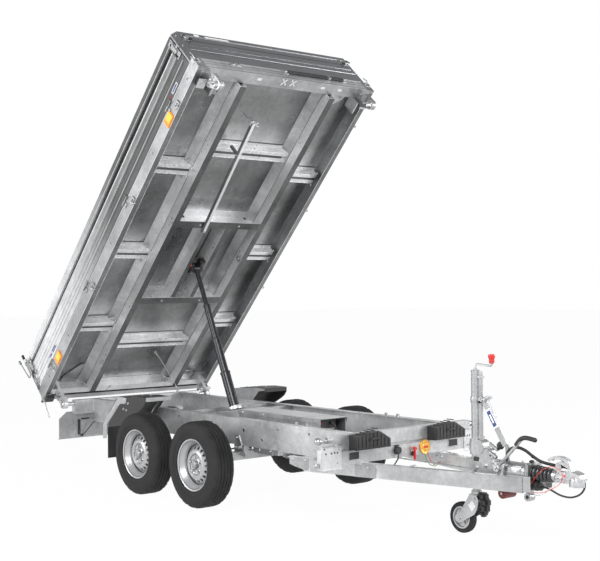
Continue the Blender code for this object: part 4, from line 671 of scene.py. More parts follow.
for side, tag in ((1, "left"), (-1, "right")):
    face = BED_HALF_WIDTH
    bright, dark, pins = Kit(BED), Kit(BED), Kit(BED)
    for u in STATIONS:
        axis = side * (face + 0.012)
        pins.rod((u - 0.047, axis, RIM_HEIGHT), (u + 0.047, axis, RIM_HEIGHT), 0.0046, 12)
        for way in (-1, 1):
            pins.rod((u + way * 0.0455, axis, RIM_HEIGHT), (u + way * 0.0485, axis, RIM_HEIGHT), 0.0068, 12)
        pins.bolt((u - 0.0225, side * (face + 0.006), RIM_HEIGHT - 0.027), (0, side, 0), 0.0075)
        hook = u + 0.075 if u > 0.5 else 0.375
        bright.block((hook - 0.03, hook + 0.03), sided(side, face + 0.0002, face + 0.004), (0.006, 0.062),
                     0.001)
        bright.block((hook - 0.03, hook - 0.018), sided(side, face + 0.003, face + 0.013), (0.01, 0.056),
                     0.002)
        bright.block((hook + 0.018, hook + 0.03), sided(side, face + 0.003, face + 0.013), (0.01, 0.056),
                     0.002)
        bright.rod((hook - 0.032, side * (face + 0.009), 0.018),
                   (hook + 0.032, side * (face + 0.009), 0.018), 0.005)
        bright.ring((hook, side * (face + 0.01), 0.008), (1, 0, 0), 0.0135, 0.0042)
        bright.bolt((hook, side * (face + 0.004), 0.052), (0, side, 0), 0.006)
        # A dark oval in the opening behind the hook: painted shade.
        dark.prism(oval(hook, 0.035, 0.011, 0.012), 0, 0.0006, upright(side, face + 0.004))
    # Dark discs stand in for the shade inside the rail holes: painted shade.
    for u in (0.115, 0.245, 0.755, 1.81, 2.74, 3.43):
        dark.rod((u, side * face, 0.06), (u, side * (face + 0.0006), 0.06), 0.0065, 14)
        bright.ring((u, side * (face + 0.0006), 0.06), (0, 1, 0), 0.0085, 0.0014, 18, 6)
    pins.show("wall_hinge_pins_" + tag, ZINC_BRIGHT, "bed")
    bright.show("lashing_points_" + tag, ZINC_BRIGHT, "bed", 0.0006)
    dark.show("rail_hole_shade_" + tag, BLACK, "bed")
    amber, orange = Kit(BED), Kit(BED)
    for low, high in ((0.432, 0.545), (3.01, 3.122)):
        orange.block((low, high), sided(side, face + 0.0002, face + 0.0085), (0.01, 0.094), 0.003)
        amber.block((low + 0.034, high - 0.01), sided(side, face + 0.008, face + 0.0115), (0.018, 0.086),
                    0.003)
    orange.show("side_reflectors_" + tag, ORANGE_LENS, "bed")
    amber.show("side_lamp_lenses_" + tag, AMBER_LENS, "bed")

    # Latches at the two ends of the side wall
    body = "wall_" + tag
    skin = face + 0.0042
    bright, dark = Kit(BED), Kit(BED)
    for u, way in ((3.5, 1), (0.084, -1)):
        bright.block((u - 0.03, u + 0.028), sided(side, skin, skin + 0.003), (0.245, 0.435), 0.001)
        bright.block((u - 0.02, u + 0.02), sided(side, skin + 0.002, skin + 0.0135), (0.29, 0.372), 0.004)
        bright.rod((u, side * (skin + 0.004), 0.392), (u, side * (skin + 0.0135), 0.392), 0.021, 24, 0.018)
        bright.ring((u, side * (skin + 0.0095), 0.392), (0, 1, 0), 0.0215, 0.0035, 28)
        dark.rod((u, side * (skin + 0.013), 0.392), (u, side * (skin + 0.0142), 0.392), 0.0125, 20)
        dark.block((u - 0.026, u - 0.012), sided(side, skin + 0.003, skin + 0.0145), (0.262, 0.345), 0.003)
        hook = sorted((u + way * 0.01, u + way * 0.055))
        bright.block(tuple(hook), sided(side, skin + 0.003, skin + 0.0085), (0.316, 0.338), 0.002)
        bright.rod((u + way * 0.05, side * (skin + 0.002), 0.304),
                   (u + way * 0.05, side * (skin + 0.0095), 0.304),
                   0.007, 14)
        for w in (0.254, 0.426):
            bright.bolt((u + 0.016, side * (skin + 0.003), w), (0, side, 0), 0.0065)
    bright.show("wall_latches_" + tag, ZINC_BRIGHT, body, 0.0006)
    dark.show("wall_latch_grips_" + tag, BLACK, body, 0.0006)
    caps = Kit(BED)
    for low, high in ((0.0552, 0.058), (3.526, 3.5288)):
        caps.block((low, high), sided(side, face - 0.024, face + 0.0035), (0.3945, 0.466), 0.001)
        caps.block((low, high), sided(side, face - 0.024, face - 0.001), (0.12, 0.356), 0.001)
    caps.show("wall_end_caps_" + tag, ZINC, body, slot="aluminium")

    # Rear corner: oval keepers, the lower tailgate lock and its release rod
    bright, dark = Kit(BED), Kit(BED)
    flat = upright(side, face)
    # Each keeper's opening is a dark oval set slightly low: painted shade.
    for u, w in ((0.026, 0.268), (0.024, 0.128)):
        bright.prism(oval(u - 0.004, w, 0.018, 0.04), 0.0002, 0.0045, flat)
        dark.prism(oval(u + 0.002, w - 0.002, 0.0115, 0.031), 0.0044, 0.0062, flat)
    bright.block((0.02, 0.046), sided(side, face + 0.0002, face + 0.007), (0.178, 0.218), 0.002)
    bright.rod((0.033, side * face, 0.3), (0.033, side * (face + 0.012), 0.3), 0.009, 16)
    lock = face - 0.034
    bright.block((-0.034, -0.0006), sided(side, lock - 0.02, lock + 0.02), (0.004, 0.058), 0.003)
    bright.rod((-0.02, side * (lock - 0.026), 0.03), (-0.02, side * (lock + 0.026), 0.03), 0.01, 16)
    dark.rod((-0.03, side * lock, 0.036), (-0.07, side * lock, 0.04), 0.0125, 16)
    bright.tube([(-0.022, side * lock, 0.018), (-0.04, side * lock, -0.01), (-0.058, side * lock, -0.06),
                 (-0.076, side * lock, -0.148)], 0.0055)
    bright.block((-0.006, 0.07), sided(side, lock - 0.03, lock + 0.03), (-0.006, -0.0004), 0.001)
    dark.block((0.004, 0.064), sided(side, lock - 0.052, lock + 0.022), (-0.036, -0.006), 0.004)
    bright.tube([(-0.03, side * lock, 0.1), (-0.012, side * (lock + 0.02), 0.15),
                 (-0.006, side * lock, 0.23),
                 (-0.012, side * lock, 0.33)], 0.004)
    bright.show("tailgate_lock_" + tag, ZINC_BRIGHT, "bed", 0.0006)
    dark.show("tailgate_lock_grip_" + tag, BLACK, "bed", 0.0006)

    # Front corner: catch on the headboard and hardware at the foot of the post
    bright, dark = Kit(BED), Kit(BED)
    front = BED_LENGTH
    bright.block((front - 0.0002, front + 0.004), sided(side, 0.765, 0.838), (0.352, 0.42), 0.001)
    bright.block((front + 0.003, front + 0.016), sided(side, 0.785, 0.822), (0.366, 0.408), 0.004)
    dark.rod((front + 0.004, side * 0.776, 0.362), (front + 0.018, side * 0.776, 0.362), 0.013, 18)
    bright.ring((front + 0.012, side * 0.804, 0.388), (1, 0, 0), 0.022, 0.004, 28)
    dark.tube([(front + 0.012, side * 0.8, 0.404), (front + 0.018, side * 0.828, 0.398),
               (front + 0.016, side * 0.848, 0.372)], 0.0055)
    bright.bolt((front + 0.004, side * 0.772, 0.408), (1, 0, 0), 0.007)
    cut = Vector((0.036, side * 0.036, 0)).normalized()
    middle = Vector((front - 0.018, side * (face - 0.018), 0))
    for w in (0.15, 0.3, 0.43):
        bright.bolt(middle + cut * 0.0002 + Vector((0, 0, w)), cut, 0.008)
    bright.block((front - 0.03, front + 0.004), sided(side, face - 0.048, face + 0.006), (0.06, 0.108),
                 0.003)
    dark.rod((front + 0.004, side * (face - 0.02), 0.074), (front + 0.0052, side * (face - 0.02), 0.074),
             0.012, 18)
    bright.rod((front + 0.002, side * (face - 0.04), 0.094), (front + 0.012, side * (face - 0.04), 0.094),
               0.01, 16)
    bright.tube([(front + 0.004, side * (face - 0.01), 0.1), (front + 0.012, side * (face - 0.004), 0.13),
                 (front + 0.004, side * (face - 0.008), 0.175)], 0.004)
    bright.show("front_corner_catch_" + tag, ZINC_BRIGHT, "bed", 0.0006)
    dark.show("front_corner_grip_" + tag, BLACK, "bed", 0.0004)

# Tailgate and headboard trim
kit = Kit(BED)
for side in (1, -1):
    kit.block((-0.034, -0.0003), sided(side, 0.796, 0.8262), (0.126, 0.436), 0.002)
    kit.block((-0.02, -0.0003), sided(side, 0.7, 0.796), (0.4, 0.44), 0.003)
for v in (-0.5, 0, 0.5):
    kit.block((-0.016, -0.0003), (v - 0.02, v + 0.02), (0.13, 0.43), 0.003)
kit.show("tailgate_end_strips", ALUMINIUM, "tailgate", 0.0006)
# Dark strips in the headboard grooves and along the rail folds are painted shade. Bright strips on the rail
# edges are painted highlights.
for name, finish, low, high, bands in (
        ("headboard_groove_shade", DARK_STEEL_AND_SHADE, 0.0001, 0.0009,
         [((-0.832, 0.832), (w, w + 0.0055)) for w in (0.2165, 0.287, 0.356)]),
        ("front_rail_facing", ZINC_CHASSIS, 0.0001, 0.001,
         [((-0.832, 0.832), (0.12, 0.123)), ((-0.832, 0.832), (0.4235, 0.4265)),
          ((-0.8, 0.8), (0.0015, 0.1155))]),
        ("front_rail_fold_shade", ZINC_SHADE, 0.001, 0.0016,
         [((-0.8, 0.8), span) for span in ((0.012, 0.0148), (0.056, 0.0582), (0.084, 0.087))]),
        ("front_rail_highlights", WALL_HIGHLIGHT, 0.0009, 0.0016,
         [((-0.8, 0.8), span) for span in ((0.11, 0.115), (0.0015, 0.007))]),
        ("headboard_blank_labels", WHITE_LENS, 0.0002, 0.001,
         [((-0.7, -0.655), (0.432, 0.458)), ((-0.6, -0.375), (0.434, 0.45))])):
    kit = Kit(BED)
    for v, w in bands:
        kit.block((BED_LENGTH + low, BED_LENGTH + high), v, w)
    kit.show(name, finish, "bed", slot="aluminium")
RUN = (0.0765, 3.5035)
BEAD_RISE = 0.004
BEAD = ((0.0, -0.012), (BEAD_RISE, -0.005), (BEAD_RISE, 0.005), (0.0, 0.012))
for side, tag in ((1, "left"), (-1, "right")):
    face, body = BED_HALF_WIDTH, "wall_" + tag
    highlight_lines, light, middle, shade, rail = Kit(BED), Kit(BED), Kit(BED), Kit(BED), Kit(BED)
    # Painted highlights are the bright lines on the ridges. Painted reflection is the lighter middle band
    # and beads. Painted shade is the dark strip in the groove and the thin dark lines.
    highlight_lines.block(RUN, sided(side, face + BEAD_RISE + 0.0001, face + BEAD_RISE + 0.001), (0.413, 0.4195),
                0.0004)
    highlight_lines.block(RUN, sided(side, face + 0.0001, face + 0.0018), (0.3435, 0.357), 0.0006)
    highlight_lines.block(RUN, sided(side, face + 0.0001, face + 0.001), (0.2985, 0.3015), 0.0004)
    middle.block(RUN, sided(side, face + 0.0001, face + 0.0007), (0.302, 0.343))
    for w in (0.2835, 0.1985):
        outer = [(side * (face + out + 0.0004), w + up) for out, up in BEAD]
        inner = [(side * (face + out - 0.0006), w + up) for out, up in reversed(BEAD)]
        light.along_x(outer + inner, RUN)
    # Thin dark lines along the folds and a dark strip inside the groove: painted shade.
    for w in (0.258, 0.218, 0.178):
        shade.block(RUN, sided(side, face + 0.0001, face + 0.0005), (w, w + 0.003))
    shade.block((0.075, 3.505), sided(side, face - 0.0098, face - 0.009), (0.361, 0.389))
    shade.block(RUN, sided(side, face + 0.0001, face + 0.0008), (0.119, 0.1225))
    highlight_lines.show("wall_ridge_highlights_" + tag, WALL_HIGHLIGHT, body, 0.0, 20)
    middle.show("wall_middle_band_" + tag, WALL_MIDDLE_REFLECTION, body)
    light.show("wall_beads_" + tag, WALL_BEAD_HIGHLIGHT, body, 0.0, 20)
    shade.show("wall_groove_shade_" + tag, DARK_STEEL_AND_SHADE, body, slot="aluminium")
    # Bright strips along the rail's upper and lower edges: painted highlights.
    rail.block((0.066, 3.51), sided(side, face + 0.0001, face + 0.0008), (0.1105, 0.115))
    rail.block((0.066, 3.51), sided(side, face + 0.0001, face + 0.0008), (0.0015, 0.007))
    grip, ends = Kit(BED), Kit(BED)
    grip.rod((-0.012, side * (face - 0.03), 0.47), (0.04, side * (face - 0.012), 0.33), 0.0085, 14)
    grip.tube(smooth_route([(-0.016, side * (face - 0.03), 0.33), (-0.03, side * (face - 0.024), 0.4),
                            (-0.036, side * (face - 0.03), 0.47), (-0.034, side * (face - 0.026), 0.535)],
                           0.02),
              0.009, 12)
    grip.block((-0.042, -0.004), sided(side, face - 0.046, face - 0.012), (0.45, 0.49), 0.005)
    grip.block((0.052, 0.086), sided(side, face + 0.0002, face + 0.007), (0.15, 0.21), 0.002)
    for u, w in ((0.069, 0.165), (0.069, 0.195), (0.104, 0.232), (0.104, 0.18)):
        grip.bolt((u, side * (face + 0.0068 if u < 0.1 else face + 0.0002), w), (0, side, 0), 0.01)
    ends.rod((-0.034, side * (face - 0.026), 0.535), (-0.033, side * (face - 0.026), 0.58), 0.0125, 14)
    grip.show("rear_post_levers_" + tag, ZINC_BRIGHT, "bed", 0.0006)
    ends.show("rear_post_lever_grips_" + tag, DARK_STEEL_AND_SHADE, "bed", slot="galvanised_steel")
    rail.show("rail_highlights_" + tag, WALL_HIGHLIGHT, "bed", slot="galvanised_steel")
    blue, maroon, white = Kit(BED), Kit(BED), Kit(BED)
    white.block((3.236, 3.33), sided(side, face + 0.0005, face + 0.0012), (0.136, 0.164))
    blue.block((3.242, 3.324), sided(side, face + 0.0011, face + 0.0017), (0.141, 0.159))
    flat = upright(side, face)
    for field in ([(0.3, 0.132), (0.33, 0.132), (0.372, 0.172), (0.43, 0.168), (0.43, 0.152), (0.384, 0.152),
                   (0.346, 0.126), (0.3, 0.124)],
                  [(0.45, 0.16), (0.54, 0.16), (0.54, 0.15), (0.45, 0.15)],
                  [(0.45, 0.176), (0.52, 0.176), (0.52, 0.167), (0.45, 0.167)]):
        blue.prism(field, 0.0006, 0.0014, flat)
    maroon.rod((3.198, side * (face + 0.0005), 0.15), (3.198, side * (face + 0.0014), 0.15), 0.0165, 28)
    white.show("wall_blank_labels_" + tag, WHITE_LENS, body, slot="aluminium")
    blue.show("wall_blank_label_fields_" + tag, BLUE, body, slot="aluminium")
    maroon.show("wall_blank_roundel_" + tag, MAROON, body, slot="aluminium")

# Ribbed strut and small hardware on the front rail
bright, dark = Kit(BED), Kit(BED)
front = BED_LENGTH
for v in (-0.016, 0.597):
    bright.block((front + 0.0002, front + 0.004), (v - 0.022, v + 0.022), (0.064, 0.108), 0.001)
    bright.block((front + 0.003, front + 0.02), (v - 0.016, v + 0.016), (0.078, 0.094), 0.004)
    bright.bolt((front + 0.004, v + 0.014, 0.07), (1, 0, 0), 0.006)
for w in (0.077, 0.095):
    dark.rod((front + 0.012, 0.0, w), (front + 0.012, 0.58, w), 0.0085, 14)
for k in range(46):
    v = 0.01 + 0.0125 * k
    dark.ring((front + 0.012, v, 0.077), (0, 1, 0), 0.0085, 0.0018, 14, 6)
    dark.ring((front + 0.012, v, 0.095), (0, 1, 0), 0.0085, 0.0018, 14, 6)
for v in (0.415, 0.43):
    bright.block((front + 0.002, front + 0.024), (v, v + 0.008), (0.064, 0.108), 0.002)
for v in (-0.52, -0.47):
    bright.block((front + 0.0002, front + 0.01), (v - 0.016, v + 0.016), (0.086, 0.112), 0.002)
    dark.rod((front + 0.01, v, 0.098), (front + 0.0112, v, 0.098), 0.007, 14)
bright.block((front + 0.0002, front + 0.004), (-0.545, -0.445), (0.078, 0.1165), 0.001)
bright.show("front_rail_hardware", ZINC_BRIGHT, "bed", 0.0005)
dark.show("front_rail_ribbed_struts", RUBBER, "bed")
welds = Kit(BED)
for v in (-0.06, 0.03):
    for way in (-1, 1):
        turn = Matrix.Rotation(way * 0.72, 4, "Z")
        welds.block((3.552 - 0.036, 3.552 + 0.036), (v - 0.0045, v + 0.0045), (-0.0022, -0.0003), 0.0, turn)
for v in (-0.3, 0.34, 0.52):
    welds.block((3.536, 3.556), (v - 0.02, v + 0.02), (-0.0018, -0.0003))
welds.show("front_rail_welds", WELD, "bed")


# Bed: underside sheets with a painted reflection, bar faces and beam faces with painted shade and highlights

BAYS = (0.85, 1.7, 2.6)
BEAM_RUN = (0.122, 3.488)
RIM_RUN = (0.03, 3.555)
SPLAY_OUT, SPLAY_IN = 0.5333, 0.3617
spans = [(-SPLAY_IN, SPLAY_IN, (0.122, 0.54, 0.7, 1.218, 1.286, 2.087, 2.155, 2.72, 2.88, 3.488))]
for side in (-1, 1):
    spans.append(sided(side, SPLAY_OUT, 0.8355) + ((0.122, 0.77, 0.93, 1.62, 1.78, 2.52, 2.68, 3.488),))
# Thin sheets under each bay carry a painted reflection, lighter towards their lower, rear end.
count = 0
for low_v, high_v, stations in spans:
    for u0, u1 in zip(stations[::2], stations[1::2]):
        count += 1
        kit = Kit(BED)
        kit.block((u0, u1), (low_v, high_v), (0.1161, 0.1168))
        kit.show("bay_sheet_%d" % count, BAY_REFLECTION_SHEET, "bed")
# Dark strips under the beams and bars, along the folds and in the hat grooves are painted shade. Bright
# strips on the rim edge and hat ridges are painted highlights.
pale, shade, slopes, edges, under = [Kit(BED) for k in range(5)]
for side in (-1, 1):
    for v in (0.4196, 0.4754):
        pale.block(BEAM_RUN, sided(side, v - 0.0002, v + 0.0002), (-0.044, 0.049))
    shade.block(BEAM_RUN, sided(side, 0.4194, 0.4756), (-0.0458, -0.0452))
    shade.block(BEAM_RUN, sided(side, 0.4756, 0.4764), (0.0455, 0.0498))
    shade.block(BEAM_RUN, sided(side, 0.4186, 0.4194), (0.0455, 0.0498))
    splay = [(0.4757, 0.0503), (0.5336, 0.1146), (0.5341, 0.1141), (0.4763, 0.0499)]
    slopes.along_x([(side * v, w) for v, w in splay], BEAM_RUN)
    slopes.along_x([(side * (0.895 - v), w) for v, w in splay], BEAM_RUN)
    edges.block(RIM_RUN, sided(side, 0.835, 0.8378), (-0.001, -0.0004))
    under.block(RIM_RUN, sided(side, 0.8378, 0.8815), (-0.0008, -0.0003))
hats = [(u, (-0.36, 0.36)) for u in (0.62, 2.8)]
hats += [(u, sided(side, 0.4764, 0.833)) for side in (-1, 1) for u in BAYS]
# Hats have painted shade in the middle groove and at the feet, and painted highlights on the two ridges.
for u, span in hats:
    shade.block((u - 0.0095, u + 0.0095), span, (0.0566, 0.0571))
    for way in (-1, 1):
        edges.block((u + way * 0.044 - 0.004, u + way * 0.044 + 0.004), span, (0.0566, 0.0571))
        shade.block((u + way * 0.0865 - 0.0055, u + way * 0.0865 + 0.0055), span, (0.1154, 0.116))
for u in (1.218, 2.087):
    pale.block((u + 0.0052, u + 0.0056), (-0.418, 0.418), (-0.037, 0.114))
    shade.block((u, u + 0.068), (-0.418, 0.418), (-0.0438, -0.0432))
for v in (-0.08, 0.08):
    out = 1 if v > 0 else -1
    shade.block((1.288, 2.086), sided(out, abs(v), abs(v) + 0.04), (-0.0405, -0.0399))
pale.show("beam_and_bar_faces", ZINC_HAT, "bed")
shade.show("beam_and_bar_shade", ZINC_SHADE, "bed")
slopes.show("beam_slope_shade", BEAM_SLOPE_SHADE, "bed")
edges.show("fold_highlights", ZINC_HIGHLIGHT, "bed")
under.show("rim_underside_shade", RIM_UNDER_SHADE, "bed")
stay = Kit(BED)
start, end, across = Vector((2.06, -0.16, 0)), Vector((3.179, -0.214, 0)), Vector((0.0482, 0.9988, 0))
outline = [start + across * 0.002, end + across * 0.002, end + across * 0.026, start + across * 0.026]
stay.prism([(p.x, p.y) for p in outline], -0.069, -0.0667)
stay.show("safety_stay_flat", ZINC_HAT, "bed", 0.0005, slot="black_paint")

# Bed: underside fittings

FRONT_BALL_U = 3.543
for side, tag in ((1, "left"), (-1, "right")):
    bright, dark, welds = Kit(BED), Kit(BED), Kit(BED)
    down = RIM_ABOVE_BALL
    for u in (BED_U_OF_BALL, FRONT_BALL_U):
        v = side * BALL_Y
        turn = Matrix.Translation((u, v, -down)) @ Matrix.Rotation(math.pi / 2, 4, "X")
        for way in (-1, 1):
            lip = [(0.0268, way * 0.0165), (0.04, way * 0.0165), (0.0385, way * 0.0215),
                   (0.029, way * 0.0225),
                   (0.0268, way * 0.02), (0.0268, way * 0.0165)]
            bright.lathe(lip, 32, turn)
        pin_u, pin_w = u + (0.02 if u < 1 else -0.02), 0.047 - down
        bright.rod((pin_u, v - 0.046, pin_w), (pin_u, v + 0.046, pin_w), 0.008, 16)
        bright.ring((pin_u, v + side * 0.052, pin_w), (1, 0, 0), 0.014, 0.0035, 24)
        bright.rod((pin_u, v + side * 0.022, pin_w), (pin_u, v + side * 0.034, pin_w), 0.014, 20)
        bright.block((u - 0.036, u + 0.036), (v - 0.021, v - 0.0165), (-0.085, -0.04), 0.002)
        bright.block((u - 0.036, u + 0.036), (v + 0.0165, v + 0.021), (-0.085, -0.04), 0.002)
        for way in (-1, 1):
            bright.bolt((u + way * 0.022, v + side * 0.021, -0.06), (0, side, 0), 0.0085)
    dark.block((3.43, 3.5), sided(side, 0.788, 0.852), (-0.034, -0.0006), 0.004)
    bright.block((3.424, 3.506), sided(side, 0.784, 0.856), (-0.04, -0.0345), 0.001)
    bright.bolt((3.465, side * 0.82, -0.04), (0, 0, -1), 0.01)
    bright.block((3.38, 3.486), sided(side, 0.712, 0.728), (-0.06, 0.06), 0.003)
    # Triangular plates from the beam to the end rails, and the weld runs on them
    for u, far in ((3.43, 3.3), (0.158, 0.33)):
        way = 1 if far < u else -1
        plate = [(u, 0.56), (u, 0.712), (u - way * 0.03, 0.7), (far, 0.575), (far, 0.54)]
        plate = [(x, side * y) for x, y in plate]
        bright.prism(plate, 0.104, 0.108)
        bright.prism([(x + way * 0.001, y) for x, y in plate[:2]] + [(u + way * 0.05, side * 0.712),
                                                                     (u + way * 0.05, side * 0.56)], 0.1,
                     0.104)
    for u in BAYS:
        for way in (-1, 1):
            end = u + way * 0.064
            welds.block((end - 0.01, end + 0.01), sided(side, 0.476, 0.484), (0.052, 0.06), 0.002)
            corner = [(end, 0.492), (end + way * 0.05, 0.484), (end + way * 0.004, 0.56)]
            bright.prism([(x, side * y) for x, y in corner], 0.074, 0.0765)
            welds.block((end - 0.006, end + 0.006), sided(side, 0.826, 0.834), (0.05, 0.062), 0.001)
        welds.block((u - 0.045, u + 0.045), sided(side, 0.4762, 0.48), (0.044, 0.049), 0.001)
    for k in range(14):
        u = 0.3 + 0.22 * k
        welds.block((u - 0.018, u + 0.018), sided(side, 0.527, 0.533), (0.1105, 0.1145), 0.001)
    bright.show("bed_corner_castings_" + tag, ZINC_BRIGHT, "bed", 0.0006)
    dark.show("bed_rubber_buffers_" + tag, RUBBER, "bed", 0.001)
    welds.show("bed_weld_runs_" + tag, WELD, "bed")

# The bright strap on the left beam beside the ram, and bolts in the heavy bars
bright, dark = Kit(BED), Kit(BED)
for side in (1, -1):
    bright.block((1.7, 1.742), sided(side, 0.42, 0.414), (-0.04, 0.02), 0.002)
    bright.bolt((1.721, side * 0.414, -0.01), (0, -side, 0), 0.01)
# Dark discs stand in for the shade inside the holes in the heavy bar: painted shade.
for v in (-0.36, 0.28):
    dark.rod((2.1555, v, 0.02), (2.1562, v, 0.02), 0.016, 20)
    bright.ring((2.1558, v, 0.02), (1, 0, 0), 0.018, 0.0016, 28, 6)
for u in (1.252, 2.121):
    for v in (-0.2, 0.2):
        bright.bolt((u, v, -0.0432), (0, 0, -1), 0.009)
bright.block((3.16, 3.2), (-0.236, -0.196), (-0.062, -0.056), 0.002)
bright.tube([(3.176, -0.214, -0.056), (3.19, -0.2, -0.03), (3.186, -0.18, 0.02), (3.15, -0.176, 0.06),
             (3.146, -0.172, 0.112)], 0.0045)
bright.tube([(3.06, -0.032, 0.114), (3.056, -0.03, 0.09), (3.066, -0.01, 0.08)], 0.005)
bright.block((3.04, 3.08), (-0.045, 0.005), (0.1125, 0.1165), 0.001)
for u, v in ((2.868, -0.199), (2.1, -0.1525)):
    bright.ring((u, v, -0.0553), (1, 0, 0), 0.0128, 0.0022, 20)
bright.bolt((2.075, -0.152, -0.0668), (0, 0, -1), 0.01)
bright.show("bed_underside_fittings", ZINC_BRIGHT, "bed", 0.0005)
dark.show("bed_bar_hole_shade", BLACK, "bed")

# Ram head: caps, hose end and pins on the bracket under the bed
kit, red, green, bright = Kit(BED), Kit(BED), Kit(BED), Kit(BED)
u, w = 1.622, -0.035
for side in (1, -1):
    kit.block((u - 0.07, u - 0.05), sided(side, 0.02, 0.076), (-0.02, 0.034), 0.003)
    kit.block((u + 0.05, u + 0.07), sided(side, 0.02, 0.076), (-0.02, 0.034), 0.003)
    kit.rod((u, side * 0.041, w), (u, side * 0.056, w), 0.02, 20)
    bright.bolt((u, side * 0.056, w), (0, side, 0), 0.011)
    for way in (-1, 1):
        bright.bolt((u + way * 0.052, side * 0.06, 0.0268), (0, 0, -1), 0.0075)
red.rod((u + 0.032, -0.064, -0.03), (u + 0.032, -0.078, -0.03), 0.0115, 18)
green.rod((u + 0.086, -0.05, -0.005), (u + 0.086, -0.064, -0.005), 0.0095, 18)
kit.block((u + 0.07, u + 0.1), (-0.072, -0.02), (-0.018, 0.01), 0.004)
kit.block((u - 0.026, u + 0.05), (-0.066, -0.046), (-0.05, -0.012), 0.004)
kit.show("ram_head_caps_block", BLACK, "bed", 0.0008)
red.show("ram_head_red_cap", RED, "bed")
green.show("ram_head_green_cap", GREEN, "bed")
bright.show("ram_head_bolts", ZINC_BRIGHT, "bed")

# Ram: collar rings, gland edges and the hose connection at its foot
RAM_TILT = math.radians(-24.95)
RAM = HERE @ Matrix.Translation((-0.205, 0, 0.6)) @ Matrix.Rotation(RAM_TILT, 4, "Y")
collar, dark, bright = Kit(RAM), Kit(RAM), Kit(RAM)
collar.lathe([(0.0522, 0.02), (0.057, 0.02), (0.0575, 0.024), (0.0575, 0.044), (0.056, 0.0495),
              (0.0522, 0.05)], 40)
dark.lathe([(0.0482, -0.03), (0.052, -0.03), (0.053, -0.024), (0.053, 0.01), (0.0515, 0.016),
            (0.0482, 0.0165)],
           36)
dark.rod((0.048, 0, -0.06), (0.074, 0, -0.06), 0.016, 20)
bright.rod((0.074, 0, -0.06), (0.086, 0, -0.06), 0.012, 6)
collar.show("ram_pale_collar", WELD, "ram_base", slot="dark_steel")
dark.show("ram_trunnion_ring", BLACK, "ram_base", 0.0006, slot="dark_steel")
bright.show("ram_hose_union", ZINC_BRIGHT, "ram_base", slot="dark_steel")
RAM_TRAVEL = 0.298244
for stage in range(1, 4):
    outer = 0.048 - stage * 0.007
    top = 0.05 + (0.012 + RAM_TRAVEL) * stage
    gland = Kit(RAM)
    gland.lathe([(outer + 0.0002, top - 0.0112), (outer + 0.003, top - 0.0108),
                 (outer + 0.0032, top - 0.003),
                 (outer + 0.002, top - 0.0004), (outer - 0.005, top + 0.0004), (outer - 0.005, top - 0.002)],
                32)
    gland.show("ram_gland_%d" % stage, BLACK, "ram_stage_%d" % stage, slot="dark_steel")


# Chassis rails, brackets and running gear

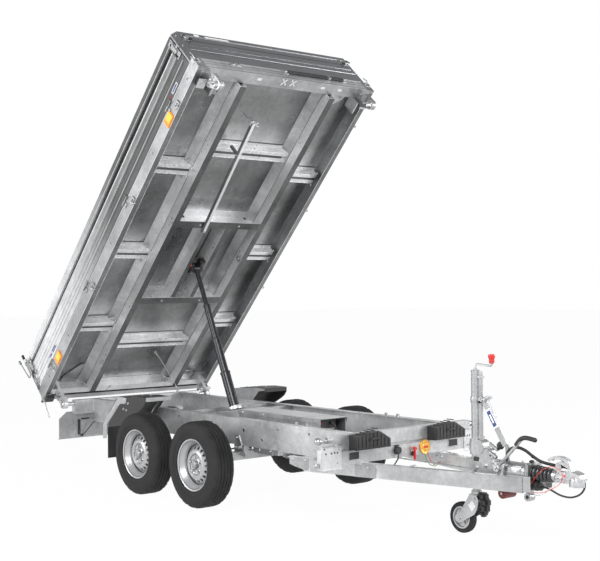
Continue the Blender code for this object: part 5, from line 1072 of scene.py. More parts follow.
GUARD_BEND = -0.5995
GUARD_Y = (0.5, 0.733)
bright, dark, zinc_kit, welds = Kit(), Kit(), Kit(), Kit()
for side in (1, -1):
    face = BEAM_FACE
    # Dark discs stand in for the shade inside the holes in the rail: painted shade.
    for x, z, r in ((0.539, 0.562, 0.014), (1.628, 0.55, 0.014), (0.761, 0.509, 0.009), (1.3, 0.6, 0.008),
                    (-0.15, 0.56, 0.012), (-0.33, 0.6, 0.008), (0.95, 0.6, 0.006)):
        dark.rod((x, side * face, z), (x, side * (face + 0.0007), z), r, 18)
        bright.ring((x, side * (face + 0.0006), z), (0, 1, 0), r + 0.0015, 0.0013, 24, 6)
    # Stop bracket with its pin ahead of the front wheel, and the box under the rail
    stop = [(0.436, 0.52), (0.484, 0.52), (0.52, 0.44), (0.57, 0.372), (0.545, 0.356), (0.49, 0.4)]
    zinc_kit.along_y(stop, (side * (face + 0.0003), side * (face + 0.006)))
    bright.rod((0.505, side * face, 0.43), (0.505, side * (face + 0.03), 0.43), 0.011, 16)
    bright.bolt((0.462, side * (face + 0.006), 0.5), (0, side, 0), 0.009)
    bright.block((0.64, 0.94), sided(side, 0.428, 0.476), (0.408, 0.4445), 0.003)
    zinc_kit.block((0.7, 0.88), sided(side, 0.477, 0.4815), (0.404, 0.452), 0.001)
    for x in (0.725, 0.855):
        bright.bolt((x, side * 0.4815, 0.432), (0, side, 0), 0.009)
    # Axle bracket bolts, torsion ends and brake cables
    for axle in (AXLE_SPACING / 2, -AXLE_SPACING / 2):
        tube = axle + 0.08
        for x in (tube - 0.038, tube + 0.038):
            bright.bolt((x, side * 0.4803, 0.424), (0, side, 0), 0.01)
            bright.bolt((x, side * 0.4297, 0.424), (0, -side, 0), 0.01)
        bright.rod((tube, side * 0.597, 0.365), (tube, side * 0.645, 0.365), 0.034, 6)
        bright.rod((tube, side * 0.64, 0.365), (tube, side * 0.652, 0.365), 0.014, 16)
        bright.rod((axle, side * 0.636, 0.322), (axle, side * 0.654, 0.322), 0.03, 24)
        bright.rod((axle, side * 0.64, 0.322), (axle, side * 0.69, 0.322), 0.024, 24)
        dark.tube([(tube - 0.08, 0.03, 0.418), (tube - 0.1, side * 0.2, 0.412),
                   (tube - 0.12, side * 0.42, 0.404), (tube - 0.105, side * 0.56, 0.392),
                   (axle - 0.045, side * 0.64, 0.372), (axle - 0.03, side * 0.69, 0.36)], 0.006, 10)
    # Rail end welds and small studs on the top flange
    for x in (1.115, 1.24):
        bright.block((x - 0.01, x + 0.01), sided(side, 0.437, 0.457), (0.6453, 0.667), 0.002)
    for x in (-1.3, -0.95, 0.3, 0.8, 1.45):
        dark.rod((x, side * 0.455, 0.6452), (x, side * 0.455, 0.6459), 0.007, 14)
    welds.block((1.696, 1.7024), sided(side, 0.43, 0.488), (0.64, 0.648), 0.002)
    welds.block((1.698, 1.7024), sided(side, 0.4852, 0.49), (0.447, 0.643), 0.001)
    welds.block((-1.7, -1.692), sided(side, 0.4852, 0.49), (0.53, 0.643), 0.001)
    # Mudguard bracket: bolts and folded edge
    for x in (-0.8475, -0.6975, -0.5675):
        bright.bolt((x, side * 0.6, 0.7525 - 0.0745 * max(0, GUARD_BEND - x)), (0, 0, 1), 0.009)
    for x, z in ((-0.8675, 0.64), (-0.7575, 0.625), (-0.6275, 0.69), (-0.5175, 0.738)):
        bright.bolt((x, side * 0.4906, z), (0, side, 0), 0.01)
    # The folded lip is bright on the right side and black on the left: a painted highlight and painted shade
    # on one part.
    lip = bright if side < 0 else dark
    lip.block((-0.4435, -0.4355), sided(side, 0.488, 0.729), (0.72, 0.7535), 0.001)
bright.tube(smooth_route([(-0.43, 0.03, 0.418), (-0.36, 0.05, 0.418), (-0.25, 0.105, 0.418),
                          (-0.1, 0.105, 0.4185), (0.05, 0.04, 0.419), (0.2, 0.03, 0.419)], 0.02)
            + [(2.615, 0.03, 0.424)], 0.0055)
bright.block((-0.345, -0.3), (-0.11, 0.11), (0.405, 0.431), 0.002)
bright.show("chassis_fittings", ZINC_BRIGHT, "chassis", 0.0005)
dark.show("chassis_hole_shade_and_cables", BLACK, "chassis")
zinc_kit.show("chassis_brackets", ZINC, "chassis", 0.0006)
welds.show("chassis_welds", WELD, "chassis")
flaps, guards, bands = Kit(), Kit(), Kit()
for side, tag in ((1, "left"), (-1, "right")):
    bracket = Kit()
    roof = [(-1.0135, 0.6), (-0.8895, 0.73), (-0.5995, 0.752), (-0.4395, 0.75)]
    bracket.along_y(roof + [(-0.4435, 0.733), (-0.5295, 0.723), (-0.6315, 0.627), (-0.6595, 0.56),
                            (-0.9605, 0.56)],
                    (side * 0.4855, side * 0.4905))
    bracket.along_y([(x, z - 0.0005) for x, z in roof] + [(x, z - 0.0045) for x, z in reversed(roof)],
                    (side * 0.4875, side * 0.73))
    obj = bracket.show("outrigger_plates_" + tag, ZINC_BRIGHT, "chassis", 0.0008)
    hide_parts("outrigger_" + tag)
    cap = [(-0.82, 0.7398), (-0.5995, 0.756), (-0.44, 0.754), (-0.44, 0.75), (-0.5995, 0.7525),
           (-0.82, 0.736)]
    guards.along_y(cap, [side * y for y in GUARD_Y])
    skirt = [(-0.836, 0.675), (-0.77, 0.737), (-0.5995, 0.754), (-0.44, 0.754), (-0.44, 0.718),
             (-0.47, 0.678), (-0.52, 0.648), (-0.6, 0.608), (-0.7, 0.57), (-0.8, 0.5),
             (-0.83, 0.429), (-1.02, 0.429), (-1.02, 0.51)]
    guards.along_y(skirt, (side * 0.7302, side * 0.7336))
    guards.along_y([(-0.83, 0.505), (-0.8, 0.505), (-0.735, 0.59), (-0.66, 0.66), (-0.595, 0.7),
                    (-0.53, 0.72), (-0.53, 0.7235), (-0.598, 0.704), (-0.664, 0.664), (-0.74, 0.594),
                    (-0.804, 0.509), (-0.83, 0.509)], [side * y for y in GUARD_Y])
    for x, z in ((-0.76, 0.69), (-0.7, 0.69), (-0.77, 0.64), (-0.73, 0.632)):
        bands.bolt((x, side * 0.7336, z), (0, side, 0), 0.01)
    band = [(-0.904, 0.685), (-0.855, 0.73), (-0.73, 0.733), (-0.731, 0.692), (-0.846, 0.674),
            (-1.041, 0.507), (-1.047, 0.374), (-1.107, 0.368), (-1.105, 0.486)]
    bands.along_y(band, (side * 0.7338, side * 0.7362))
    bands.along_y([(-1.105, 0.486), (-1.107, 0.368), (-1.104, 0.368), (-1.102, 0.485), (-0.901, 0.683),
                   (-0.904, 0.685)], (side * 0.7, side * 0.7362))
    flaps.block((-0.814, -0.808), sided(side, 0.669, 0.862), (0.245, 0.5), 0.001)
    bands.block((-0.819, -0.8142), sided(side, 0.674, 0.856), (0.46, 0.482), 0.0005)
flaps.show("mud_flap_rubber", RUBBER, "chassis")
guards.show("mudguard_skirts", PLASTIC, "chassis", 0.0006)
bands.show("mudguard_stays", ZINC_BRIGHT, "chassis", 0.0006)

# Hydraulic unit: lid, louvres, battery terminals, hose and gauge
bright, dark, red = Kit(), Kit(), Kit()
top = 0.662
bright.block((0.094, 1.096), (-0.206, 0.056), (top + 0.0002, top + 0.0035), 0.001)
bright.block((0.094, 1.096), (-0.2085, -0.2062), (top - 0.03, top + 0.0035), 0.0005)
bright.block((0.094, 1.096), (0.0562, 0.0585), (top - 0.03, top + 0.0035), 0.0005)
for x in (0.16, 0.42, 0.74, 1.03):
    bright.bolt((x, -0.2085, top - 0.016), (0, -1, 0), 0.007)
    bright.bolt((x, 0.0585, top - 0.016), (0, 1, 0), 0.007)
# Dark strips stand in for the shade in the louvre slots: painted shade.
for k in range(6):
    dark.block((0.48 + 0.03 * k, 0.492 + 0.03 * k), (-0.2011, -0.2002), (0.53, 0.6))
bright.block((0.94, 1.0), (-0.222, -0.2002), (0.59, 0.61), 0.004)
for y in (-0.165, -0.045):
    (red if y < -0.1 else dark).rod((1.0302, y, 0.622), (1.05, y, 0.622), 0.013, 18)
    dark.tube([(1.048, y, 0.622), (1.066, y + 0.01, 0.6), (1.07, y + 0.028, 0.56), (1.06, y + 0.034, 0.5),
               (1.03, y + 0.03, 0.4705)], 0.006)
red.block((1.0302, 1.034), (-0.15, -0.085), (0.5, 0.56), 0.001)
bright.block((1.0302, 1.036), (-0.19, -0.01), (0.575, 0.585), 0.001)
dark.tube([(0.101, -0.12, 0.5), (0.02, -0.124, 0.502), (-0.06, -0.126, 0.506), (-0.13, -0.122, 0.52),
           (-0.185, -0.112, 0.556), (-0.205, -0.105, 0.59)], 0.01, 14)
bright.rod((-0.205, -0.0815, 0.6), (-0.205, -0.112, 0.6), 0.015, 6)
bright.rod((0.099, -0.12, 0.5), (0.08, -0.12, 0.5), 0.014, 6)
bright.show("pump_lid_and_fittings", ZINC_BRIGHT, "chassis", 0.0004)
dark.show("pump_hoses_and_louvre_shade", RUBBER, "chassis", slot="black_plastic")
red.show("battery_terminal", RED, "chassis", 0.0005)

# Rear lamps and their backs, seen from the front
red, orange, white, dark, grey = Kit(), Kit(), Kit(), Kit(), Kit()
rear = -1.7636
for side in (1, -1):
    for kit, y, z in ((red, (0.484, 0.56), (0.338, 0.452)), (red, (0.642, 0.712), (0.338, 0.452)),
                      (orange, (0.563, 0.639), (0.397, 0.452)), (white, (0.563, 0.639), (0.338, 0.394))):
        kit.block((rear - 0.0475, rear - 0.0445), sided(side, *y), z, 0.002)
    dark.block((-1.7605, -1.75), sided(side, 0.594, 0.612), (0.33, 0.466), 0.003)
    dark.block((-1.7605, -1.752), sided(side, 0.5, 0.58), (0.462, 0.474), 0.003)
    grey.block((-1.7605, -1.744), sided(side, 0.398, 0.592), (0.326, 0.458), 0.006)
    for k in range(5):
        grey.block((-1.7445, -1.742), sided(side, 0.408 + 0.036 * k, 0.426 + 0.036 * k), (0.336, 0.448),
                   0.001)
    grey.block((-1.744, -1.738), sided(side, 0.404, 0.412), (0.4, 0.452), 0.002)
    dark.rod((-1.756, side * 0.579, 0.322), (-1.738, side * 0.579, 0.322), 0.01, 16)
    dark.tube([(-1.74, side * 0.579, 0.322), (-1.72, side * 0.56, 0.35), (-1.69, side * 0.5, 0.43),
               (-1.678, side * 0.4, 0.5), (-1.676, side * 0.3, 0.516)], 0.005)
    red.rod((rear - 0.003, side * 0.76, 0.35), (rear - 0.0002, side * 0.76, 0.35), 0.026, 3)
red.show("rear_lamp_red_panels", RED_LENS, "chassis")
orange.show("rear_lamp_orange_panels", ORANGE_LENS, "chassis")
white.show("rear_lamp_white_panels", WHITE_LENS, "chassis", slot="lamp_red")
dark.show("rear_lamp_backs", PLASTIC, "chassis")
grey.show("rear_lamp_back_plates", ZINC_BEAM, "chassis", 0.0006)
cable = Kit()
foot, head = Vector((-1.7, 0.425, 0.672)), Vector((-1.661, 0.145, 1.05))
cable.tube([foot.lerp(head, k / 40) + Vector((0, 0.006 * math.sin(math.pi * k / 40), 0)) for k in range(41)],
           0.0032, 8)
for end, way in ((foot, 1), (head, -1)):
    run = (head - foot).normalized() * way
    cable.rod(end + run * 0.028, end + run * 0.052, 0.0062, 12)
    cable.ring(end + run * 0.014, (1, 0, 0), 0.013, 0.0032, 24)
obj = cable.show("bed_safety_cable", ZINC_BRIGHT, None)
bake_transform(obj)
hooks = Kit()
hooks.block((-1.712, -1.688), (0.412, 0.438), (0.6453, 0.662), 0.003)
hooks.rod((-1.7, 0.412, 0.664), (-1.7, 0.438, 0.664), 0.006, 12)
hooks.show("safety_cable_anchor", ZINC_BRIGHT, "chassis", 0.0005)
plate = Kit()
plate.block((rear - 0.005, rear - 0.0002), (-0.26, 0.26), (0.345, 0.455), 0.001)
plate.show("blank_number_plate", WHITE_LENS, "chassis", slot="black_plastic")


# Front crossmember: corner brackets, chocks, isolator, plug and wires

bright, dark, zinc_kit = Kit(), Kit(), Kit()
face = 1.7633
for side in (1, -1):
    zinc_kit.block((face, face + 0.003), sided(side, 0.6, 0.779), (0.43, 0.585), 0.001)
    zinc_kit.block((face - 0.04, face + 0.003), sided(side, 0.776, 0.779), (0.43, 0.56), 0.001)
    zinc_kit.block((face, face + 0.032), sided(side, 0.6, 0.779), (0.43, 0.433), 0.001)
    # Dark discs stand in for the shade inside the bracket holes: painted shade.
    for out, up in ((0.752, 0.566), (0.738, 0.534), (0.69, 0.534), (0.662, 0.536), (0.636, 0.534)):
        dark.rod((face + 0.003, side * out, up), (face + 0.0036, side * out, up), 0.0068, 14)
    bright.block((face, face + 0.012), sided(side, 0.6, 0.776), (0.58, 0.585), 0.001)
    bright.bolt((face + 0.003, side * 0.64, 0.47), (1, 0, 0), 0.008)
    bright.block((1.7, 1.75), sided(side, 0.78, 0.8), (0.44, 0.474), 0.004)
    bright.rod((1.725, side * 0.8, 0.457), (1.725, side * 0.808, 0.457), 0.013, 6)
    # Ball stub: flange, neck step and box end
    zinc_kit.rod((1.72, side * 0.672, BALL_Z), (1.72, side * 0.682, BALL_Z), 0.0195, 24)
    bright.rod((1.72, side * 0.682, BALL_Z), (1.72, side * 0.718, BALL_Z), 0.0185, 24)
    bright.rod((1.72, side * 0.716, BALL_Z), (1.72, side * 0.722, BALL_Z), 0.0215, 24)
    bright.ball((1.72, side * BALL_Y, BALL_Z), 0.0254, 24)
    bright.ball((BALL_X, side * BALL_Y, BALL_Z), 0.0254, 24)
    bright.rod((BALL_X, side * 0.682, BALL_Z), (BALL_X, side * 0.718, BALL_Z), 0.0185, 24)
    # Open rail end: a dark sheet stands in for the shade inside the hollow rail, as painted shade
    dark.block((face, face + 0.0007), sided(side, 0.44, 0.53), (0.474, 0.523))
    for y, z in (((0.436, 0.534), (0.47, 0.4745)), ((0.436, 0.534), (0.5225, 0.527)),
                 ((0.436, 0.4405), (0.47, 0.527)), ((0.5295, 0.534), (0.47, 0.527))):
        bright.block((face, face + 0.0016), sided(side, *y), z)
zinc_kit.show("front_corner_brackets", ZINC_HAT, "chassis", 0.0006)
bright.show("front_member_fittings", ZINC_BRIGHT, "chassis", 0.0005)
dark.show("front_member_hole_shade", PLASTIC, "chassis")
chocks = Kit()
for y in (0.375, -0.375):
    for k in range(9):
        at = y - 0.142 + 0.0345 * k
        height = 0.638 + 0.007 * k if at < y + 0.06 else 0.65 - (at - y - 0.06) * 0.58
        chocks.block((1.8432, 1.847), (at, at + 0.012), (0.556, height - 0.01), 0.001)
        chocks.block((1.775, 1.838), (at, at + 0.012), (height - 0.001, height + 0.0045), 0.001)
    chocks.block((1.8432, 1.848), (y - 0.15, y + 0.15), (0.551, 0.559), 0.002)
    chocks.block((1.765, 1.844), (y - 0.158, y + 0.158), (0.544, 0.5498), 0.001)
    chocks.tube([(1.845, y - 0.04, 0.6), (1.857, y - 0.03, 0.612), (1.857, y + 0.03, 0.612),
                 (1.845, y + 0.04, 0.6)], 0.005)
chocks.show("chock_ribs", PLASTIC, "chassis")
yellow, red, dark, green, bright = Kit(), Kit(), Kit(), Kit(), Kit()
turn = facing_front(face, 0.191, 0.497)
yellow.lathe([(0.0, 0.0005), (0.049, 0.0005), (0.051, 0.003), (0.051, 0.009), (0.047, 0.012),
              (0.041, 0.0095),
              (0.03, 0.0095), (0.027, 0.014), (0.018, 0.0155), (0.0, 0.0155)], 48, turn)
for k in range(6):
    a = math.pi * k / 3 + 0.3
    y, z = 0.191 + 0.0355 * math.cos(a), 0.497 + 0.0355 * math.sin(a)
    bright.rod((face + 0.009, y, z), (face + 0.012, y, z), 0.0045, 10)
red.block((face + 0.012, face + 0.03), (0.062, 0.08), (0.412, 0.506), 0.006)
red.rod((face + 0.012, 0.071, 0.498), (face + 0.034, 0.071, 0.498), 0.0125, 18)
red.block((face + 0.0155, face + 0.021), (0.172, 0.21), (0.49, 0.504), 0.002)
dark.rod((face, 0.071, 0.46), (face + 0.014, 0.071, 0.46), 0.018, 18)
turn = facing_front(face, -0.087, 0.499)
dark.lathe([(0.0, 0.0005), (0.03, 0.0005), (0.03, 0.006), (0.0255, 0.008), (0.0255, 0.026), (0.022, 0.03),
            (0.0, 0.03)], 32, turn)
dark.block((face, face + 0.01), (-0.108, -0.066), (0.527, 0.535), 0.002)
red.tube([(face + 0.01, 0.205, 0.455), (face + 0.02, 0.215, 0.42), (face + 0.016, 0.24, 0.385),
          (1.775, 0.275, 0.36), (1.765, 0.344, 0.372)], 0.003, 8)
green.tube([(face + 0.01, 0.18, 0.455), (face + 0.018, 0.192, 0.405), (face + 0.014, 0.23, 0.365),
            (1.77, 0.29, 0.348), (1.762, 0.344, 0.362)], 0.003, 8)
dark.tube([(face + 0.02, -0.087, 0.475), (face + 0.02, -0.092, 0.44), (1.79, -0.14, 0.4),
           (1.8, -0.22, 0.385), (1.795, -0.33, 0.4)], 0.005)
yellow.show("isolator_disc", YELLOW, "chassis", 0.0004)
red.show("isolator_handle_and_wire", RED, "chassis", 0.0005)
green.show("isolator_green_wire", GREEN, "chassis")
dark.show("charge_plug", PLASTIC, "chassis", 0.0005)
bright.show("isolator_screws", ZINC_BRIGHT, "chassis")

# Drawbar: gussets, bolts and straps along the arms
for side, tag in ((1, "left"), (-1, "right")):
    start = Vector((1.15, side * 0.53, 0.3908))
    run = (Vector((2.885, side * 0.093, 0.4088)) - start).normalized()
    out = Vector((0, side, 0)) - run * run.y * side
    out.normalize()
    local = Matrix((run, out, run.cross(out) * side)).transposed().to_4x4()
    arm = HERE @ Matrix.Translation(start) @ local
    bright, zinc_kit, welds = Kit(arm), Kit(arm), Kit(arm)
    zinc_kit.prism([(0.56, -0.052), (0.725, -0.052), (0.74, 0.01), (0.7, 0.046), (0.56, 0.046)], 0.0253,
                   0.0303, upright())
    zinc_kit.prism([(0.01, 0.046), (0.01, -0.004), (0.06, -0.02), (0.15, -0.04), (0.178, -0.02),
                    (0.178, 0.046)],
                   0.0253, 0.0303, upright())
    for s, t in ((0.594, 0.014), (0.664, 0.014), (0.032, 0.028), (0.15, 0.03)):
        bright.bolt((s, 0.0303, t), (0, 1, 0), 0.011)
        bright.bolt((s, -0.0252, t), (0, -1, 0), 0.011)
    for s in (0.18, 0.745, 1.64):
        welds.block((s - 0.0035, s + 0.0035), (0.0251, 0.0275), (-0.046, 0.046), 0.001)
    zinc_kit.prism([(0.735, 0.046), (0.79, 0.046), (0.815, 0.01), (0.855, -0.05), (0.79, -0.05),
                    (0.755, 0.0)],
                   0.0253, 0.0272, upright())
    bright.block((0.719, 0.7245), (0.03, 0.033), (-0.05, 0.046), 0.001)
    bright.block((0.985, 1.01), (-0.03, 0.03), (0.0478, 0.053), 0.002)
    bright.prism([(1.7, -0.0475), (1.842, -0.0475), (1.842, 0.0475), (1.7, 0.0475)], 0.0252, 0.0282,
                 upright())
    bright.block((1.79, 1.802), (-0.024, 0.025), (-0.047, 0.047), 0.001)
    bright.ring((1.33, 0.029, 0.02), (0, 1, 0), 0.012, 0.003)
    bright.show("drawbar_bolts_" + tag, ZINC_BRIGHT, "chassis", 0.0005)
    zinc_kit.show("drawbar_gussets_" + tag, ZINC, "chassis", 0.0006)
    welds.show("drawbar_welds_" + tag, WELD, "chassis")

# Jockey post: knob, clamp, labelled strut, foot casting and side plate
post = 2.415
red, dark, bright, maroon = Kit(), Kit(), Kit(), Kit()
turn = Matrix.Translation((post + 0.138, 0, 0))
red.lathe([(0.0, 1.126), (0.012, 1.126), (0.018, 1.134), (0.0182, 1.142), (0.0175, 1.15), (0.0185, 1.158),
           (0.0225, 1.168), (0.024, 1.178), (0.0215, 1.1865), (0.013, 1.189), (0.0, 1.1895)], 28, turn)
bright.lathe([(0.0, 1.07), (0.0312, 1.07), (0.0318, 1.073), (0.0318, 1.0785), (0.024, 1.0815),
              (0.012, 1.083),
              (0.012, 1.092), (0.0, 1.092)], 32, Matrix.Translation((post, 0, 0)))
bright.lathe([(0.0304, 0.868), (0.0345, 0.868), (0.0352, 0.871), (0.0352, 0.903), (0.0345, 0.906),
              (0.0304, 0.906)],
             32, Matrix.Translation((post, 0, 0)))
bright.block((post + 0.036, post + 0.1), (-0.026, 0.026), (0.872, 0.904), 0.005)
bright.bolt((post + 0.072, -0.026, 0.889), (0, -1, 0), 0.012)
bright.block((post + 0.086, post + 0.128), (-0.018, 0.018), (0.896, 0.918), 0.005)
dark.block((post + 0.04, post + 0.066), (-0.03, -0.024), (0.868, 0.884), 0.002)
dark.rod((post + 0.052, -0.03, 0.876), (post + 0.052, -0.036, 0.876), 0.008, 14)
for z in (0.64, 1.03):
    bright.block((post + 0.026, post + 0.06), (-0.02, 0.02), (z, z + 0.014), 0.002)
top, foot = Vector((post + 0.08, 0, 0.885)), Vector((post + 0.255, 0, 0.612))
along = (foot - top).normalized()
side_out = Vector((along.z, 0, -along.x))
flat = HERE @ Matrix.Translation(top) @ Matrix((along, side_out, Vector((0, -1, 0)))).transposed().to_4x4()
length = (foot - top).length
strut, label, patch = Kit(flat), Kit(flat), Kit(flat)
strut.block((0.0, length), (-0.0215, 0.0215), (0.0132, 0.0162), 0.001)
strut.block((0.0, length), (-0.0215, -0.019), (-0.01, 0.016), 0.001)
strut.block((0.0, length), (0.019, 0.0215), (-0.01, 0.016), 0.001)
label.block((0.062, 0.196), (-0.0208, 0.0208), (0.0162, 0.0168))
patch.block((0.074, 0.184), (-0.013, 0.018), (0.0168, 0.0172))
label.block((0.1, 0.16), (-0.004, 0.009), (0.0171, 0.0176))
strut.show("jockey_strut_channel", ZINC_BRIGHT, "chassis", 0.0005)
label.show("jockey_strut_label", WHITE_LENS, "chassis", slot="galvanised_steel")
patch.show("jockey_strut_label_patch", BLUE, "chassis", slot="galvanised_steel")
for low, high, r in ((0.532, 0.632, 0.041), (0.556, 0.61, 0.0455)):
    bright.rod((post, 0, low), (post, 0, high), r, 32)
bright.rod((post + 0.045, -0.0345, 0.585), (post + 0.045, 0.0345, 0.585), 0.047, 36)
bright.rod((post + 0.11, -0.032, 0.548), (post + 0.11, 0.032, 0.548), 0.03, 28)
bright.block((post + 0.012, post + 0.186), (-0.0345, -0.0303), (0.437, 0.512), 0.002)
bright.block((post + 0.012, post + 0.186), (0.0303, 0.0345), (0.437, 0.512), 0.002)
for x, z in ((post + 0.107, 0.471), (post + 0.03, 0.452), (post + 0.17, 0.498)):
    bright.bolt((x, -0.0345, z), (0, -1, 0), 0.012)
    bright.bolt((x, 0.0345, z), (0, 1, 0), 0.012)
knob = Matrix.Translation((2.621, -0.004, 0.603)) @ Matrix.Rotation(math.radians(38), 4, "Y")
dark.lathe([(0.0, -0.03), (0.01, -0.03), (0.01, -0.012), (0.02, -0.01), (0.0225, -0.004), (0.0225, 0.016),
            (0.02, 0.024), (0.012, 0.027), (0.0, 0.0275)], 24, knob)
for k in range(8):
    dark.rod(knob @ on_circle(0.0222, math.pi * k / 4, -0.004),
             knob @ on_circle(0.0222, math.pi * k / 4, 0.018),
             0.0035, 8)
bright.rod((2.53, 0, 0.612), (2.596, 0, 0.575), 0.011, 16)
bright.rod((2.56, -0.03, 0.56), (2.612, -0.03, 0.532), 0.012, 18)
dark.block((post + 0.046, post + 0.052), (-0.035, -0.032), (0.49, 0.516))
dark.block((post + 0.006, post + 0.046), (-0.0352, -0.034), (0.492, 0.52), 0.002)
bright.rod((post, 0, 0.3715), (post, 0, 0.38), 0.052, 32)
bright.rod((post, 0, 0.36), (post, 0, 0.37), 0.038, 32)
for a in (0.785, 2.356, 3.927, 5.498):
    bright.bolt((post + 0.043 * math.cos(a), 0.043 * math.sin(a), 0.38), (0, 0, 1), 0.007)
maroon.rod((post + 0.275, -0.072, 0.318), (post + 0.275, 0.03, 0.318), 0.034, 32)
bright.block((post + 0.13, post + 0.18), (-0.014, 0.012), (0.322, 0.3708), 0.002)
bright.rod((post + 0.275, -0.08, 0.318), (post + 0.275, 0.036, 0.318), 0.008, 12)
bright.rod((post + 0.155, 0, 0.33), (post + 0.25, 0, 0.322), 0.006, 12)
red.show("crank_knob", RED, "chassis")
dark.show("jockey_clamp", BLACK, "chassis", 0.0006)
bright.show("jockey_foot_casting", ZINC_BRIGHT, "chassis", 0.0014)
maroon.show("overrun_spring_end", MAROON, "chassis", 0.001, slot="lamp_red")

# Parking brake grip, overrun housing, bellows, coupling and park socket
CABLE_ROUTE = [
    (2.7, -0.035, 0.518), (2.7, -0.035, 0.556), (2.722, -0.03, 0.596), (2.775, -0.022, 0.612),
    (2.828, -0.008, 0.596), (2.868, 0.014, 0.562), (2.915, 0.036, 0.532), (2.98, 0.05, 0.52),
    (3.055, 0.057, 0.514), (3.13, 0.062, 0.502), (3.195, 0.064, 0.47), (3.226, 0.058, 0.42),
    (3.208, 0.04, 0.37), (3.158, 0.014, 0.345), (3.098, -0.01, 0.352), (3.045, -0.025, 0.376),
    (3.005, -0.03, 0.389), (2.9688, -0.03, 0.39)]
dark, bright, zinc_kit = Kit(), Kit(), Kit()
dark.tube(smooth_route([(2.812, -0.08, 0.636), (2.84, -0.08, 0.668), (2.866, -0.08, 0.684),
                        (2.9, -0.08, 0.688), (2.96, -0.08, 0.681)], 0.008), 0.0142, 18)
dark.ball((2.96, -0.08, 0.681), 0.015, 16)
sleeved = [(x, y, z + 0.0005) for x, y, z in CABLE_ROUTE[2:9]]
dark.tube(smooth_route([(2.701, -0.036, 0.53), (2.704, -0.035, 0.56)] + sleeved, 0.01), 0.0098, 14)
for at in ((2.868, 0.014, 0.562), (3.055, 0.057, 0.5145)):
    dark.ball(at, 0.012, 12)
dark.block((2.886, 2.91), (-0.05, -0.02), (0.529, 0.547), 0.004)
bright.rod((2.66, -0.098, 0.48), (2.66, -0.11, 0.48), 0.01, 6)
bright.block((2.625, 2.705), (-0.079, -0.0745), (0.428, 0.512), 0.002)
for x, z in ((2.64, 0.44), (2.692, 0.44), (2.64, 0.5)):
    bright.bolt((x, -0.079, z), (0, -1, 0), 0.008)
bright.tube([(2.7, -0.086, 0.52), (2.74, -0.088, 0.552), (2.79, -0.088, 0.604)], 0.005)
turn = facing_front(2.637, 0, 0.466)
bright.lathe([(0.0, 0.0), (0.052, 0.0), (0.0535, 0.006), (0.0535, 0.03), (0.049, 0.038), (0.048, 0.07),
              (0.05, 0.074), (0.05, 0.092), (0.0475, 0.097), (0.0475, 0.18), (0.0505, 0.186),
              (0.0505, 0.214),
              (0.046, 0.222), (0.046, 0.2445), (0.0, 0.2445)], 44, turn)
for x in (2.69, 2.8):
    bright.rod((x, 0, 0.512), (x, 0, 0.524), 0.008, 14)
    bright.ball((x, 0, 0.525), 0.006, 12)
bright.block((2.868, 2.8845), (-0.064, 0.064), (0.366, 0.528), 0.004)
for y in (-0.05, 0.05):
    for z in (0.385, 0.512):
        bright.bolt((2.8845, y, z), (1, 0, 0), 0.008)
bright.block((2.835, 2.868), (-0.02, 0.02), (0.3, 0.366), 0.003)
bright.rod((2.851, -0.024, 0.31), (2.851, 0.024, 0.31), 0.026, 28)
dark.rod((2.851, -0.026, 0.31), (2.851, 0.026, 0.31), 0.012, 20)
bright.show("overrun_castings", ZINC_BRIGHT, "chassis", 0.0012, 40)
sleeve = Kit(HERE @ facing_front(2.8933, 0, 0.462))
profile = [(0.0, 0.0), (0.048, 0.0), (0.05, 0.003), (0.048, 0.007)]
for k in range(5):
    low, size = 0.008 + 0.0272 * k, 0.0545 - 0.0022 * k
    profile += [(size - 0.013, low), (size - 0.003, low + 0.008), (size, low + 0.0125), (size, low + 0.0147),
                (size - 0.003, low + 0.0192), (size - 0.013, low + 0.0272)]
profile += [(0.038, 0.146), (0.038, 0.15), (0.0, 0.15)]
sleeve.lathe(profile, 40)
obj = sleeve.show("bellows_pleats", GLOSS_RUBBER, "chassis", 0, 50, slot="rubber")
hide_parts("overrun_bellows")
bright, red = Kit(), Kit()
start = 3.0439
bright.rod((start + 0.001, 0, 0.466), (start + 0.026, 0, 0.466), 0.0365, 36)
bright.block((start + 0.02, start + 0.15), (-0.03, 0.03), (0.455, 0.498), 0.01)
for x in (start + 0.046, start + 0.074):
    for way in (-1, 1):
        bright.rod((x, way * 0.03, 0.462), (x, way * 0.044, 0.462), 0.0105, 6)
        bright.rod((x, way * 0.03, 0.462), (x, way * 0.0485, 0.462), 0.0058, 14)
turn = Matrix.Translation((3.21, 0, 0.0))
bright.lathe([(0.0278, 0.4168), (0.045, 0.4168), (0.0468, 0.419), (0.0468, 0.44), (0.0455, 0.456),
              (0.042, 0.47),
              (0.035, 0.4805), (0.024, 0.486), (0.0, 0.4875)], 44, turn)
bright.ring((3.21, 0, 0.4185), (0, 0, 1), 0.044, 0.0028, 40)
handle = smooth_route([(start - 0.03, 0, 0.56), (start - 0.006, 0, 0.576), (start + 0.044, 0, 0.583),
                       (start + 0.088, 0, 0.574), (start + 0.118, 0, 0.55), (start + 0.138, 0, 0.508)],
                      0.008)
for low, high in zip(handle, handle[1:]):
    run = high - low
    turn = Matrix.Rotation(-math.atan2(run.z, run.x), 4, "Y")
    middle = (low + high) / 2
    long = run.length * 0.56
    bright.block((middle.x - long, middle.x + long), (-0.019, 0.019), (middle.z - 0.005, middle.z + 0.005),
                 0.0,
                 turn)
    for way in (-1, 1):
        bright.block((middle.x - long, middle.x + long), (way * 0.019 - 0.0025, way * 0.019 + 0.0025),
                     (middle.z - 0.013, middle.z + 0.005), 0.0, turn)
nose = [(start + 0.11, 0.456), (start + 0.214, 0.456), (start + 0.2165, 0.47), (start + 0.206, 0.492),
        (start + 0.17, 0.505), (start + 0.128, 0.512), (start + 0.11, 0.51)]
bright.along_y(nose, (-0.036, 0.036))
